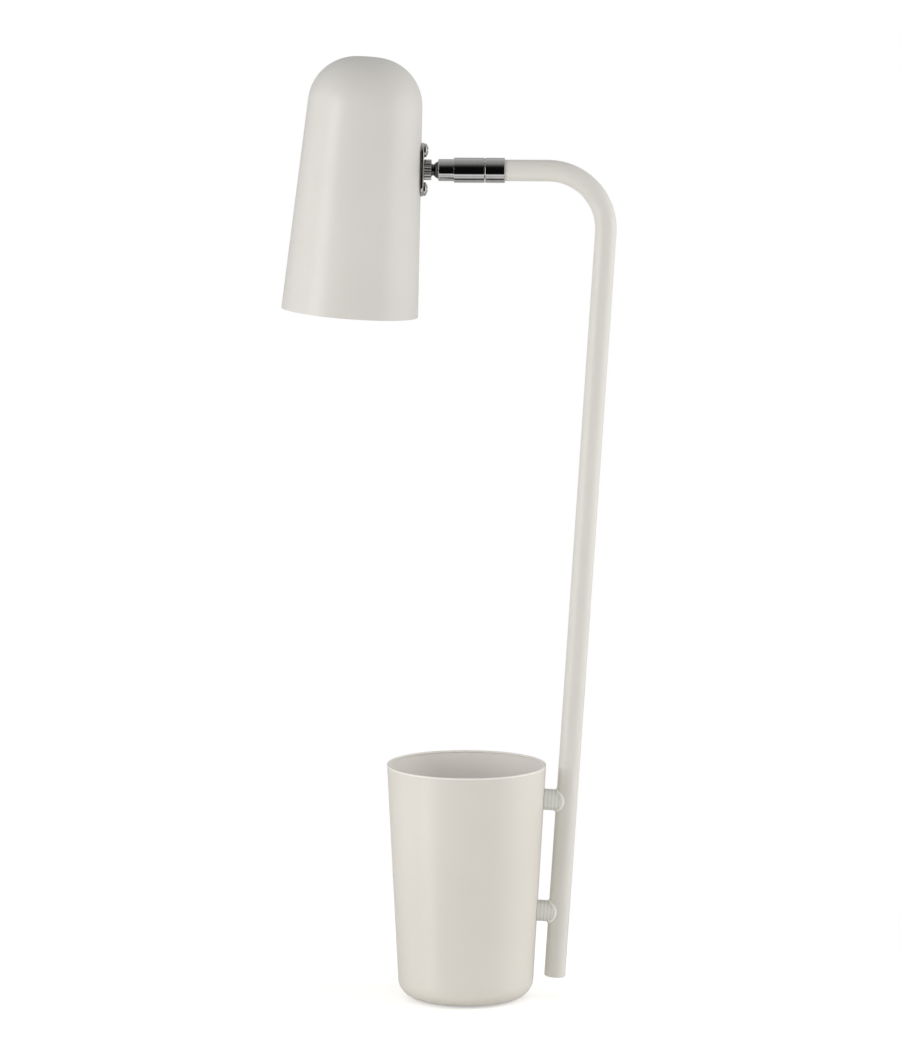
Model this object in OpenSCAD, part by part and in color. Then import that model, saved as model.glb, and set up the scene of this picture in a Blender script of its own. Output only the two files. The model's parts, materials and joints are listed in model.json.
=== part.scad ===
// Desk lamp whose base is an open pen cup.
// A bent tube stands beside the cup on two spacers. At the end of its arm a turning
// sleeve and a ball joint carry a bell-shaped shade that points down.
//
// Frame: +Z is up and z = 0 is the table. The origin is the centre of the foot under
// the cup. The stem stands on the +X side of the cup and the shade hangs on the -X side.

/* [Pen cup] */
// Height from the cup's underside to its rim
cup_h = 133.4; // [110:0.1:160]
// Outer diameter at the rim
cup_rim_d = 90; // [84:0.1:100]
// Outer diameter of the wall, carried down to the underside
cup_base_d = 75.8; // [70:0.1:82]
// Outer radius of the bottom corner
cup_corner_r = 10.5; // [6:0.1:14]
// Sheet thickness
cup_wall = 1; // [0.8:0.1:1.5]
// Radius of the turned lip at the rim
cup_lip_r = 0.7; // [0.5:0.05:1]

/* [Foot and ballast] */
// Thickness of the rubber foot
foot_t = 0.8; // [0.5:0.1:2]
// Diameter of the rubber foot
foot_d = 48; // [40:1:52]
// Radius of the pocket pressed up into the middle of the floor
pocket_r = 9; // [7:0.5:10]
// Depth of that pocket
pocket_h = 3.2; // [3:0.1:5]
// Height of the ballast over the cup's underside
ballast_top = 15; // [12:0.5:25]
// Thickness of the felt disc on the ballast
liner_t = 1.5; // [1:0.1:3]
// Diameter of the ballast screw
ballast_screw_d = 5; // [4:0.5:6]
// Length of the ballast screw's shank
ballast_screw_len = 8; // [6:0.5:10]

/* [Stem] */
// Outer diameter of the tube
stem_d = 12; // [11.5:0.1:13]
// Wall of the tube
stem_wall = 1.6; // [1.4:0.1:1.9]
// Lean of the stem away from the cup, in degrees
stem_lean = 3.5; // [2:0.1:5]
// Height of the stem's lower end over the table
stem_foot_z = 12.3; // [6:0.1:20]
// Rounding of the stem's lower edge
stem_edge_r = 1; // [0.5:0.1:1.2]
// Height of the arm's axis over the table
arm_z = 470.6; // [440:0.1:520]
// Bend radius on the tube's axis
bend_r = 32.5; // [28:0.5:45]
// Place of the arm's end along X, where the sleeve begins
arm_end_x = 20.1; // [10:0.1:28]

/* [Spacers] */
// Diameter of a spacer
spacer_d = 12; // [11:0.1:12]
// Height at which the lower spacer meets the stem's axis
spacer_low_z = 49.6; // [40:0.1:60]
// Distance from the lower to the upper spacer
spacer_pitch = 64; // [50:0.5:70]
// Free width between cup and stem at the lower spacer
spacer_gap = 6.4; // [5.5:0.1:10]
// How far a spacer laps round the tube
spacer_lap = 4.8; // [3:0.1:5.4]
// Rounding of the lapped edge
spacer_lap_r = 3; // [1.5:0.1:3.5]
// Diameter of the screws through the cup's wall
spacer_screw_d = 4; // [3:0.5:5]
// How far those screws' tips stay from the tube
spacer_screw_tip = 0.6; // [0.4:0.1:1.5]
// Diameter of the washers in the cup
washer_d = 9.6; // [9:0.1:11]
// Thickness of those washers
washer_t = 0.8; // [0.5:0.1:1.2]

/* [Turning sleeve] */
// Outer diameter of the sleeve
sleeve_d = 14; // [13.6:0.1:15]
// Length of the rear collar, which stands still
collar_len = 11; // [10:0.5:14]
// Width of the seam between the collar and the turning barrel
seam_gap = 0.3; // [0.2:0.05:0.6]
// Length of the turning barrel
barrel_len = 17.1; // [16.5:0.1:22]
// Thickness of the barrel's rear wall
barrel_rear_t = 3; // [2.6:0.1:4]
// How far the nipple's thread bites into the tube's bore
nipple_bite = 0.2; // [0.1:0.05:0.3]
// Wall of the nipple
nipple_wall = 1.3; // [1:0.1:1.4]
// How deep the nipple goes into the tube
nipple_depth = 9; // [7:0.5:12]
// Diameter of the stop pin
stop_pin_d = 0.9; // [0.7:0.1:1]
// Angle of the stop lug in the barrel, in degrees
stop_lug_angle = 16; // [12:1:24]

/* [Ball joint] */
// Diameter of the ball
ball_d = 10.4; // [10.2:0.1:10.6]
// Outer diameter of the socket's nose
nose_d = 12.3; // [12.2:0.1:12.6]
// Length of the nose in front of the barrel
nose_len = 8.9; // [8:0.1:10]
// Distance from the socket's mouth back to the ball's centre
mouth_depth = 1.8; // [1.6:0.1:2.2]
// Diameter of the neck behind the ball
neck_d = 6.2; // [5.8:0.1:6.4]
// Distance from the ball's centre to the shade's wall
wall_reach = 11.3; // [11:0.1:14]
// Bore for the wires through ball and shank
stud_bore_d = 4; // [3.6:0.1:4.4]
// Diameter of the threaded shank through the shade
shank_d = 8; // [7.6:0.1:9]
// Outer diameter of the knurled lock ring
ring_d = 11.5; // [11:0.1:12]
// Length of the lock ring
ring_len = 4.2; // [3.5:0.1:4.3]
// Number of grooves in the knurl
knurl_count = 20; // [12:1:24]
// Radius of a groove
knurl_r = 0.35; // [0.2:0.05:0.4]

/* [Swivel plate] */
// Length of the plate along the shade
plate_len = 30; // [28:0.5:36]
// Width of the plate
plate_w = 13; // [12:0.5:15]
// Thickness of the plate
plate_t = 1.5; // [1:0.1:2]
// Distance between the two screws
plate_screw_pitch = 21.6; // [20:0.1:26]
// Diameter of the two screws
plate_screw_d = 4; // [3:0.5:4]
// Length of their shanks
plate_screw_len = 10; // [9:0.5:12]

/* [Shade] */
// Length from the rim to the top of the dome
shade_len = 143.1; // [130:0.1:160]
// Outer diameter at the rim
shade_rim_d = 76.7; // [74:0.1:84]
// Outer diameter of the wall, carried up to the dome's top
shade_top_d = 61; // [58:0.1:66]
// Radius of the dome's shoulder
shoulder_r = 26.8; // [24:0.1:28]
// Radius of the dome's crown
crown_r = 101.4; // [80:0.1:140]
// Sheet thickness
shade_wall = 1; // [0.8:0.1:1.2]
// Lean of the shade's axis towards the stem, in degrees
shade_lean = 4.14; // [2:0.01:6]
// Height of the plate's middle over the shade's rim
plate_h = 82.7; // [76:0.1:92]

/* [Lampholder] */
// Thickness of the bracket strap
strap_t = 1.5; // [1.2:0.1:2]
// Width of the strap
strap_w = 12; // [11:0.5:14]
// Height of the strap's top over the shade's rim
strap_top = 112; // [108:0.5:112]
// Outer diameter of the lampholder
holder_d = 28; // [26:0.5:30]
// Length of the lampholder's cap
holder_cap_len = 16; // [14:0.5:18]
// Length of the lampholder's body
holder_body_len = 27; // [24:0.5:28]
// Wall of the lampholder
holder_wall = 1.8; // [1.5:0.1:2.2]

/* [Bulb] */
// Diameter of the bulb's ball
bulb_d = 45; // [40:1:46]
// Diameter of its screw cap
bulb_cap_d = 14; // [13.6:0.1:14]
// Length of its screw cap
bulb_cap_len = 19; // [17:0.5:20]
// Length of the glass below the cap
bulb_glass_len = 50; // [46:0.5:53]
// Thickness of the glass
bulb_wall = 0.7; // [0.5:0.1:1.2]

/* [Wiring] */
// Diameter of the cable in the stem
stem_wire_d = 5.6; // [5:0.1:6]
// Diameter of the cable in the sleeve
swivel_wire_d = 3.6; // [3:0.1:3.8]
// Diameter of each lead in the shade
lead_d = 1.6; // [1.2:0.1:1.7]
// Bend radius of the leads
lead_bend_r = 5; // [4:0.5:6]
// Length of the inlet bush
bush_len = 10; // [8:0.5:14]
// Bore of the inlet bush
bush_bore_d = 5.8; // [5.4:0.1:6.4]

/* [Fits] */
// Radial clearance of a thread or a pressed piece
thread_fit = 0.05; // [0.03:0.01:0.08]
// Radial clearance of a running fit
running_fit = 0.06; // [0.04:0.01:0.1]
// Gap between two seated faces
seat_gap = 0.05; // [0.02:0.01:0.1]
// Radial clearance of a screw in its clearance hole
screw_fit = 0.2; // [0.1:0.05:0.3]
// Radial clearance of the felt disc and of the loose rings in the sleeve
liner_fit = 0.4; // [0.2:0.1:0.5]

/* [Hidden] */
$fn = 96;
// Overlap of shapes that join, and how far a cut runs past a face
lap = 0.01;
over = 2;
// A pan head's width and height, as shares of its screw's diameter
pan_head_share = 1.94;
pan_height_share = 0.6;

paint_white = "#e2dfd7";
chrome = "#c6c8ca";
steel = "#a8abad";
iron = "#5a5b5d";
brass = "#c9a352";
black_rubber = "#2b2b2c";
felt = "#3c3d40";
black_plastic = "#26262a";
ceramic = "#eeeae0";
frosted = "#f6f4ee";

// Cup: half angle of the wall and centre of the bottom corner, over the underside
cup_angle = atan((cup_rim_d - cup_base_d) / 2 / cup_h);
cup_corner = [
    cup_base_d / 2 + cup_corner_r * tan(cup_angle) - cup_corner_r / cos(cup_angle),
    cup_corner_r
];

// Stem: its axis crosses height z at stem_x(z)
stem_r = stem_d / 2;
stem_bore_r = stem_r - stem_wall;
stem_low_x = cup_r_at(spacer_low_z) + spacer_gap + stem_r / cos(stem_lean);
bend_turn = 90 + stem_lean;
bend_z = arm_z - bend_r;
bend_x = stem_x(bend_z) - bend_r / cos(stem_lean);
stem_top_z = bend_z - bend_r * sin(stem_lean);
stem_straight_len = (stem_top_z - stem_foot_z) / cos(stem_lean);
arm_len = bend_x - arm_end_x;
// Bending thins the wall a little; the straight lengths lap into the bend
bend_thin = 0.02;
bend_lap = 0.5;

// Sleeve, from the arm's end towards the shade
collar_x = arm_end_x - collar_len;
barrel_rear_x = collar_x - seam_gap;
barrel_x = barrel_rear_x - barrel_len;
mouth_x = barrel_x - nose_len;
ball_x = mouth_x + mouth_depth;
rear_wall_x = barrel_rear_x - barrel_rear_t;
sleeve_r = sleeve_d / 2;
nipple_r = stem_bore_r + nipple_bite;
nipple_bore_r = nipple_r - nipple_wall;
ball_r = ball_d / 2;
socket_r = ball_r + running_fit;
nose_r = nose_d / 2;
nose_edge_r = 0.8;
nose_tail_len = 4.8;
barrel_thread_r = nose_r - thread_fit;
barrel_cavity_r = barrel_thread_r - 0.2;
tail_x = barrel_x + nose_tail_len;
spring_seat_t = 1.2;
spring_seat_x = tail_x + spring_seat_t;
friction_washer_t = 0.5;
locknut_len = 3;
locknut_x = rear_wall_x - seat_gap - friction_washer_t - seat_gap - locknut_len;
disc_spring_t = 0.6;
disc_spring_rise = 0.6;
ball_cup_lead = 1.9;
ball_cup_x = ball_x + ball_cup_lead;
disc_spring_h = disc_spring_t + disc_spring_rise + seat_gap / 2;
ball_cup_end_x = tail_x - 2 * disc_spring_h - 2 * seat_gap;
wire_hole_r = swivel_wire_d / 2 + liner_fit;
spring_bore_r = wire_hole_r + liner_fit;
stop_pin_fit = 0.1;
stop_track_r = (nipple_r + sleeve_r + thread_fit * 2) / 2;
stop_track_w = stop_pin_d + 2 * stop_pin_fit;
stop_track_depth = 1.1;
stop_pin_bottom_gap = 0.3;
stop_pin_in_collar = 1.4;
wire_gap = 0.3;

// Shade: half angle of the wall and centre of the shoulder's arc, over the rim
shade_angle = atan((shade_rim_d - shade_top_d) / 2 / shade_len);
crown_z = shade_len - crown_r;
shoulder_reach = shade_rim_d / 2 - shoulder_r / cos(shade_angle);
shoulder_b = shoulder_reach * tan(shade_angle) + crown_z;
shoulder_k = 1 + pow(tan(shade_angle), 2);
shoulder_z = (shoulder_b + sqrt(pow(shoulder_b, 2) - shoulder_k
    * (pow(shoulder_reach, 2) + pow(crown_z, 2) - pow(crown_r - shoulder_r, 2))))
    / shoulder_k;
shoulder = [shoulder_reach - shoulder_z * tan(shade_angle), shoulder_z];
crown_angle = atan2(shoulder[1] - crown_z, shoulder[0]);

// The shade hangs on the ball: its rim's centre follows from the plate's place
stud_tilt = shade_angle - shade_lean;
rim_x = ball_x - wall_reach * cos(stud_tilt)
    - shade_r_at(plate_h) * cos(shade_lean) - plate_h * sin(shade_lean);
rim_z = arm_z - wall_reach * sin(stud_tilt)
    + shade_r_at(plate_h) * sin(shade_lean) - plate_h * cos(shade_lean);

// Stud frame: z = 0 at the ball's centre, the shade's outer wall at -wall_reach
plate_back = seat_gap - wall_reach;
plate_front = plate_back + plate_t;
ring_back = plate_front + seat_gap;
ring_front = ring_back + ring_len;
thread_show = 1.5;
strap_sag = pow(strap_w / 2, 2) / (2 * (shade_r_at(plate_h) - shade_wall)) + screw_fit;
strap_front = -wall_reach - shade_wall - strap_sag;
strap_back = strap_front - strap_t;
plate_nut_t = 3.2;
plate_nut_across = plate_screw_d * 1.75;
stud_nut_t = 4;
stud_nut_across = 12;
shank_end = strap_back - stud_nut_t - thread_show;
shank_chamfer = 0.4;

// Lampholder, along the shade's axis over the rim
strap_under = strap_top - strap_t;
strap_eye_r = strap_w / 2 + 3;
holder_cap_z = strap_under - holder_cap_len;
holder_body_z = holder_cap_z - holder_body_len;
holder_r = holder_d / 2;
holder_nut_t = 3;
holder_nut_across = 14;
holder_nipple_r = 5;
holder_nipple_bore_r = 3.5;
holder_thread_len = 6;
holder_neck_r = holder_nipple_r + 3;
holder_neck_len = 2;
holder_ledge = 2;
grip_count = 24;
grip_r = 0.5;
core_t = 9;
core_sink = 4;
core_z = holder_cap_z - core_sink;
contact_r = 2.1;
contact_head_r = 3.2;
contact_head_t = 0.8;
shell_r = bulb_cap_d / 2 + wire_gap;
shell_t = 0.5;
shell_len = 20;
bulb_top = core_z - contact_head_t - 0.5;
bulb_neck_z = bulb_top - bulb_cap_len;
bulb_ball_z = bulb_neck_z - bulb_glass_len + bulb_d / 2;
bulb_neck_r = bulb_cap_d / 2 + 0.6;
bulb_neck_len = 3;
// Where the glass leaves its ball on the straight line to the neck, as an angle
bulb_shoulder_z = bulb_glass_len - bulb_d / 2 - bulb_neck_len;
bulb_leave = atan2(bulb_shoulder_z, bulb_neck_r)
    - acos(bulb_d / 2 / sqrt(pow(bulb_shoulder_z, 2) + pow(bulb_neck_r, 2)));
lead_y = 1;
lead_start_z = 4;
lead_tail = 1.5;
lead_entry_z = strap_under - holder_cap_len * 0.42;

function cup_r_at(z) = cup_base_d / 2 + (z - foot_t) * tan(cup_angle);
function stem_x(z) = stem_low_x + (z - spacer_low_z) * tan(stem_lean);
function shade_r_at(z) = shade_rim_d / 2 - z * tan(shade_angle);
// From the stem's axis to the cup's outer wall, along a spacer that meets it at z
function cup_reach(z) = (stem_x(z) - cup_r_at(z))
    / (cos(stem_lean) + tan(cup_angle) * sin(stem_lean));

// ---- Shapes that repeat ----

// Ring along +Z with outer radius ro and bore radius ri
module ring(ro, ri, h) {
    difference() {
        cylinder(r = ro, h = h);
        translate([0, 0, -1]) cylinder(r = ri, h = h + 2);
    }
}

// Six-sided nut along +Z with a round bore
module hex_nut(across, h, bore_r) {
    difference() {
        cylinder(r = across / 2 / cos(30), h = h, $fn = 6);
        translate([0, 0, -1]) cylinder(r = bore_r, h = h + 2);
    }
}

// Pan head screw of diameter d with a cross recess: head up from z = 0, shank down
module pan_screw(d, shank_len) {
    head_r = d * pan_head_share / 2;
    head_h = d * pan_height_share;
    dome_h = head_h * 0.6;
    dome_r = (pow(head_r, 2) + pow(dome_h, 2)) / dome_h / 2;
    recess = [head_r * 1.1, head_r * 0.24, head_h * 0.9];
    difference() {
        union() {
            intersection() {
                cylinder(r = head_r, h = head_h);
                translate([0, 0, head_h - dome_r]) sphere(r = dome_r);
            }
            translate([0, 0, -shank_len]) cylinder(r = d / 2, h = shank_len + lap);
        }
        for (turn = [0, 90]) {
            rotate([0, 0, turn]) translate([0, 0, head_h]) cube(recess, center = true);
        }
    }
}

// Places children along +X from place x on the arm's axis
module along_arm(x) {
    translate([x, 0, arm_z]) rotate([0, 90, 0]) children();
}

// Places children on the stem's axis at height z, with +Z towards the cup
module on_spacer(z) {
    translate([stem_x(z), 0, z]) rotate([0, stem_lean - 90, 0]) children();
}

// Places children in the shade's frame: origin at the rim's centre, +Z up its axis
module in_shade() {
    translate([rim_x, 0, rim_z]) rotate([0, shade_lean, 0]) children();
}

// Places children in the stud's frame: origin at the ball's centre, +Z towards the arm
module on_stud() {
    in_shade() translate([shade_r_at(plate_h), 0, plate_h])
        rotate([0, 90 - shade_angle, 0]) translate([0, 0, wall_reach]) children();
}

// Both screw places of the plate in the stud's frame
module at_plate_screws() {
    for (side = [-1, 1]) {
        translate([side * plate_screw_pitch / 2, 0, 0]) children();
    }
}

// Clearance holes for the shank and for both plate screws, up along the stud's axis
module clamp_holes(depth) {
    cylinder(r = shank_d / 2 + screw_fit, h = depth);
    at_plate_screws() cylinder(r = plate_screw_d / 2 + screw_fit, h = depth);
}

// Both spacers' axes
module at_spacers() {
    for (z = [spacer_low_z, spacer_low_z + spacer_pitch]) {
        on_spacer(z) children();
    }
}

// Round bar along +Z with outer radius ro and its lower edge rounded by edge. It has a
// bore of radius ri unless ri is 0.
module bar(ro, ri, h, edge = 0) {
    rotate_extrude() difference() {
        union() {
            translate([0, edge]) square([ro, h - edge]);
            if (edge > 0) {
                square([ro - edge, edge * 2]);
                translate([ro - edge, edge]) circle(r = edge);
            }
        }
        if (ri > 0) translate([-1, -1]) square([ri + 1, h + 2]);
    }
}

// Places children at the bend's centre, with +Z along the stem and +X towards its axis
module at_bend() {
    translate([bend_x, 0, bend_z]) rotate([0, stem_lean, 0]) children();
}

// Places children where the bend ends and the arm begins, with +Z along the arm
module at_arm() {
    at_bend() rotate([0, -bend_turn, 0]) translate([bend_r, 0, 0]) children();
}

// Bar that follows the stem, the bend and the arm. It starts low_cut above the stem's
// lower end and reaches arm_reach along the arm.
module stem_route(ro, ri, low_cut, arm_reach, edge = 0) {
    straight = stem_straight_len - low_cut;
    at_bend() {
        translate([bend_r, 0, -straight]) bar(ro, ri, straight + bend_lap, edge);
        rotate([90, 0, 0]) rotate_extrude(angle = bend_turn) translate([bend_r, 0])
            difference() {
                circle(r = ro - bend_thin);
                if (ri > 0) circle(r = ri + bend_thin);
            }
    }
    at_arm() translate([0, 0, -bend_lap]) bar(ro, ri, arm_reach + bend_lap);
}

// ---- Cup, foot and ballast ----

// Half section of the cup's outer shape, drawn in by t on every side but the top
module cup_region(t) {
    corner = cup_corner_r - t;
    slip = t / cos(cup_angle);
    polygon([
        [0, t],
        [cup_corner[0], t],
        [cup_corner[0] + corner * cos(cup_angle), cup_corner[1] - corner * sin(cup_angle)],
        [cup_rim_d / 2 - slip, cup_h],
        [0, cup_h]
    ]);
    translate(cup_corner) circle(r = corner);
}

module cup() {
    color(paint_white) difference() {
        translate([0, 0, foot_t]) rotate_extrude() {
            difference() {
                cup_region(0);
                cup_region(cup_wall);
            }
            translate([cup_rim_d / 2 - cup_lip_r, cup_h - cup_lip_r])
                circle(r = cup_lip_r);
        }
        cylinder(r = pocket_r, h = foot_t + cup_wall + over);
        at_spacers() cylinder(r = spacer_screw_d / 2 + screw_fit, h = stem_d * 2);
    }
    color(paint_white) translate([0, 0, foot_t]) difference() {
        cylinder(r = pocket_r + cup_wall, h = pocket_h + cup_wall);
        translate([0, 0, -over]) cylinder(r = pocket_r, h = pocket_h + over);
        cylinder(r = ballast_screw_d / 2 + screw_fit, h = pocket_h + cup_wall + over);
    }
}

module foot_pad() {
    color(black_rubber) cylinder(r = foot_d / 2, h = foot_t);
}

module ballast() {
    pocket_top = pocket_h + cup_wall + seat_gap;
    color(iron) translate([0, 0, foot_t]) difference() {
        rotate_extrude() intersection() {
            cup_region(cup_wall + seat_gap);
            square([cup_rim_d, ballast_top]);
        }
        cylinder(r = pocket_r + cup_wall + seat_gap, h = pocket_top);
        cylinder(r = ballast_screw_d / 2 + thread_fit,
            h = pocket_h + ballast_screw_len + over);
    }
}

module ballast_screw() {
    color(steel) translate([0, 0, foot_t + pocket_h - seat_gap]) rotate([180, 0, 0])
        pan_screw(ballast_screw_d, ballast_screw_len);
}

module cup_liner() {
    color(felt) translate([0, 0, foot_t + ballast_top + seat_gap])
        cylinder(r = cup_r_at(foot_t + ballast_top) - cup_wall - liner_fit, h = liner_t);
}

// ---- Spacers ----

module spacer(z) {
    reach = cup_reach(z);
    length = reach + over - stem_r + spacer_lap;
    straight = length - spacer_lap_r;
    r = spacer_d / 2;
    difference() {
        on_spacer(z) translate([0, 0, stem_r - spacer_lap]) rotate_extrude() {
            translate([0, spacer_lap_r]) square([r, straight]);
            square([r - spacer_lap_r, length]);
            translate([r - spacer_lap_r, spacer_lap_r]) circle(r = spacer_lap_r);
        }
        translate([stem_x(z), 0, z]) rotate([0, stem_lean, 0])
            cylinder(r = stem_r + seat_gap, h = spacer_d * 2, center = true);
        translate([0, 0, foot_t]) cylinder(
            r1 = cup_base_d / 2 + seat_gap, r2 = cup_rim_d / 2 + seat_gap, h = cup_h);
        on_spacer(z) cylinder(r = spacer_screw_d / 2 + thread_fit, h = reach + over);
    }
}

module lower_spacer() {
    color(paint_white) spacer(spacer_low_z);
}

module upper_spacer() {
    color(paint_white) spacer(spacer_low_z + spacer_pitch);
}

// The washers' outer edges rest on the hollow wall, so their middle stands off by the sag
function washer_seat(z) = cup_reach(z) + cup_wall + seat_gap
    + pow(washer_d / 2, 2) / (2 * (cup_r_at(z) - cup_wall));

module cup_washers() {
    color(steel) for (z = [spacer_low_z, spacer_low_z + spacer_pitch]) {
        on_spacer(z) translate([0, 0, washer_seat(z)])
            ring(washer_d / 2, spacer_screw_d / 2 + screw_fit, washer_t);
    }
}

module spacer_screws() {
    color(steel) for (z = [spacer_low_z, spacer_low_z + spacer_pitch]) {
        on_spacer(z) translate([0, 0, washer_seat(z) + washer_t + seat_gap])
            pan_screw(spacer_screw_d, washer_seat(z) + washer_t + seat_gap
                - stem_r - spacer_screw_tip);
    }
}

// ---- Stem ----

module stem_tube() {
    tap_len = nipple_depth + 1;
    color(paint_white) difference() {
        stem_route(stem_r, stem_bore_r, 0, arm_len, stem_edge_r);
        at_arm() translate([0, 0, arm_len - tap_len])
            cylinder(r = nipple_r + thread_fit, h = tap_len * 2);
    }
}

module inlet_bush() {
    color(black_rubber) translate([stem_x(stem_foot_z), 0, stem_foot_z])
        rotate([0, stem_lean, 0])
            ring(stem_bore_r - seat_gap, bush_bore_d / 2, bush_len);
}

module stem_wire() {
    color(black_rubber) stem_route(stem_wire_d / 2, 0, bush_len + seat_gap,
        bend_x - locknut_x);
}

// ---- Turning sleeve ----

module rear_collar() {
    color(chrome) difference() {
        along_arm(collar_x) ring(sleeve_r, nipple_r + thread_fit, collar_len - seat_gap);
        along_arm(collar_x - over) rotate([0, 0, 180]) translate([stop_track_r, 0, 0])
            cylinder(r = stop_pin_d / 2 + thread_fit, h = stop_pin_in_collar + over);
    }
}

module swivel_nipple() {
    color(steel) along_arm(locknut_x)
        ring(nipple_r, nipple_bore_r, arm_end_x + nipple_depth - locknut_x);
}

module swivel_locknut() {
    color(steel) along_arm(locknut_x)
        ring(barrel_cavity_r - liner_fit, nipple_r + thread_fit, locknut_len);
}

module friction_washer() {
    color(brass) along_arm(locknut_x + locknut_len + seat_gap)
        ring(barrel_cavity_r - screw_fit, nipple_r + thread_fit, friction_washer_t);
}

module stop_pin() {
    start_x = barrel_rear_x - stop_track_depth + stop_pin_bottom_gap;
    length = collar_x + stop_pin_in_collar - seat_gap - start_x;
    color(steel) along_arm(start_x)
        rotate([0, 0, 180]) translate([stop_track_r, 0, 0])
            cylinder(r = stop_pin_d / 2, h = length);
}

module swivel_barrel() {
    color(chrome) difference() {
        along_arm(barrel_x) cylinder(r = sleeve_r, h = barrel_len);
        along_arm(barrel_x - over) cylinder(r = barrel_thread_r + thread_fit,
            h = spring_seat_x - barrel_x + over);
        along_arm(spring_seat_x - lap) cylinder(r = barrel_cavity_r,
            h = rear_wall_x - spring_seat_x + lap);
        along_arm(rear_wall_x - over) cylinder(r = nipple_r + running_fit,
            h = barrel_rear_t + 2 * over);
        along_arm(barrel_rear_x - stop_track_depth) rotate([0, 0, stop_lug_angle / 2])
            rotate_extrude(angle = 360 - stop_lug_angle)
                translate([stop_track_r - stop_track_w / 2, 0])
                    square([stop_track_w, stop_track_depth + over]);
    }
}

module swivel_nose() {
    color(chrome) difference() {
        union() {
            along_arm(mouth_x) rotate_extrude() {
                translate([0, nose_edge_r])
                    square([nose_r, nose_len - seat_gap - nose_edge_r]);
                square([nose_r - nose_edge_r, nose_len - seat_gap]);
                translate([nose_r - nose_edge_r, nose_edge_r]) circle(r = nose_edge_r);
            }
            along_arm(barrel_x - over) cylinder(r = barrel_thread_r,
                h = nose_tail_len + over - seat_gap);
        }
        along_arm(ball_x) sphere(r = socket_r);
        along_arm(ball_x) cylinder(r = socket_r, h = nose_len + nose_tail_len);
        along_arm(mouth_x - over) cylinder(
            r = sqrt(pow(socket_r, 2) - pow(mouth_depth, 2)), h = over + lap);
    }
}

module spring_seat() {
    color(steel) along_arm(tail_x)
        ring(barrel_thread_r - thread_fit, spring_bore_r, spring_seat_t - seat_gap);
}

// Two disc springs, set base to base
module disc_springs() {
    outer = socket_r - screw_fit;
    inner = spring_bore_r;
    half = disc_spring_t + disc_spring_rise;
    color(steel) along_arm(tail_x - disc_spring_h - seat_gap) {
        for (flip = [0, 1]) {
            mirror([0, 0, flip]) translate([0, 0, seat_gap / 2]) rotate_extrude() polygon([
                [outer, 0], [outer, disc_spring_t], [inner, half],
                [inner, disc_spring_rise]
            ]);
        }
    }
}

module ball_cup() {
    color(brass) difference() {
        along_arm(ball_cup_x) ring(socket_r - stop_pin_fit, wire_hole_r,
            ball_cup_end_x - ball_cup_x);
        along_arm(ball_x) sphere(r = socket_r);
    }
}

module swivel_wire() {
    start_x = ball_x + ball_r + wire_gap;
    color(black_rubber) along_arm(start_x)
        cylinder(r = swivel_wire_d / 2, h = locknut_x - wire_gap - start_x);
}

// ---- Ball stud and what it clamps ----

module ball_stud() {
    color(chrome) on_stud() difference() {
        union() {
            sphere(r = ball_r);
            translate([0, 0, ring_front - over]) cylinder(r = neck_d / 2,
                h = over - ring_front - ball_r / 2);
            translate([0, 0, shank_end]) cylinder(r = shank_d / 2,
                h = ring_front - shank_chamfer - shank_end);
        }
        translate([0, 0, shank_end - over]) cylinder(r = stud_bore_d / 2,
            h = ball_r + 2 * over - shank_end);
    }
}

module lock_ring() {
    color(chrome) on_stud() translate([0, 0, ring_back]) difference() {
        ring(ring_d / 2, shank_d / 2 + thread_fit, ring_len);
        for (i = [0 : knurl_count - 1]) {
            rotate([0, 0, i * 360 / knurl_count]) translate([ring_d / 2, 0, -over])
                cylinder(r = knurl_r, h = ring_len + 2 * over, $fn = 24);
        }
    }
}

module swivel_plate() {
    end_r = plate_w / 2;
    color(chrome) on_stud() translate([0, 0, plate_back]) difference() {
        union() {
            for (side = [-1, 1]) {
                translate([side * (plate_len / 2 - end_r), 0, 0])
                    cylinder(r = end_r, h = plate_t);
            }
            translate([-plate_len / 2 + end_r, -end_r, 0])
                cube([plate_len - plate_w, plate_w, plate_t]);
        }
        translate([0, 0, -over]) {
            cylinder(r = shank_d / 2 + thread_fit, h = plate_t + 2 * over);
            at_plate_screws() cylinder(r = plate_screw_d / 2 + screw_fit,
                h = plate_t + 2 * over);
        }
    }
}

module plate_screws() {
    color(chrome) on_stud() translate([0, 0, plate_front + seat_gap])
        at_plate_screws() pan_screw(plate_screw_d, plate_screw_len);
}

module plate_nuts() {
    color(steel) on_stud() translate([0, 0, strap_back - plate_nut_t - seat_gap])
        at_plate_screws() hex_nut(plate_nut_across, plate_nut_t,
            plate_screw_d / 2 + thread_fit);
}

module stud_nut() {
    color(steel) on_stud() translate([0, 0, strap_back - stud_nut_t - seat_gap])
        rotate([0, 0, 30]) hex_nut(stud_nut_across, stud_nut_t, shank_d / 2 + thread_fit);
}

// ---- Shade ----

// Half section of the shade's outer shape, drawn in by t on every side but the rim
module shade_region(t) {
    r = shoulder_r - t;
    slip = t / cos(shade_angle);
    arc_end = crown_r - t;
    polygon([
        [0, 0],
        [shade_rim_d / 2 - slip, 0],
        shoulder + r * [cos(shade_angle), sin(shade_angle)],
        shoulder,
        [0, shoulder[1]]
    ]);
    translate(shoulder) intersection() {
        circle(r = r);
        translate([-shoulder[0], -r]) square([shoulder[0] + r, r * 2]);
    }
    intersection() {
        translate([0, crown_z]) circle(r = arc_end);
        polygon([
            [0, crown_z],
            [0, crown_z + crown_r * 1.1],
            [crown_r * 1.1 * cos(crown_angle), crown_z + crown_r * 1.1 * sin(crown_angle)]
        ]);
    }
}

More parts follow.
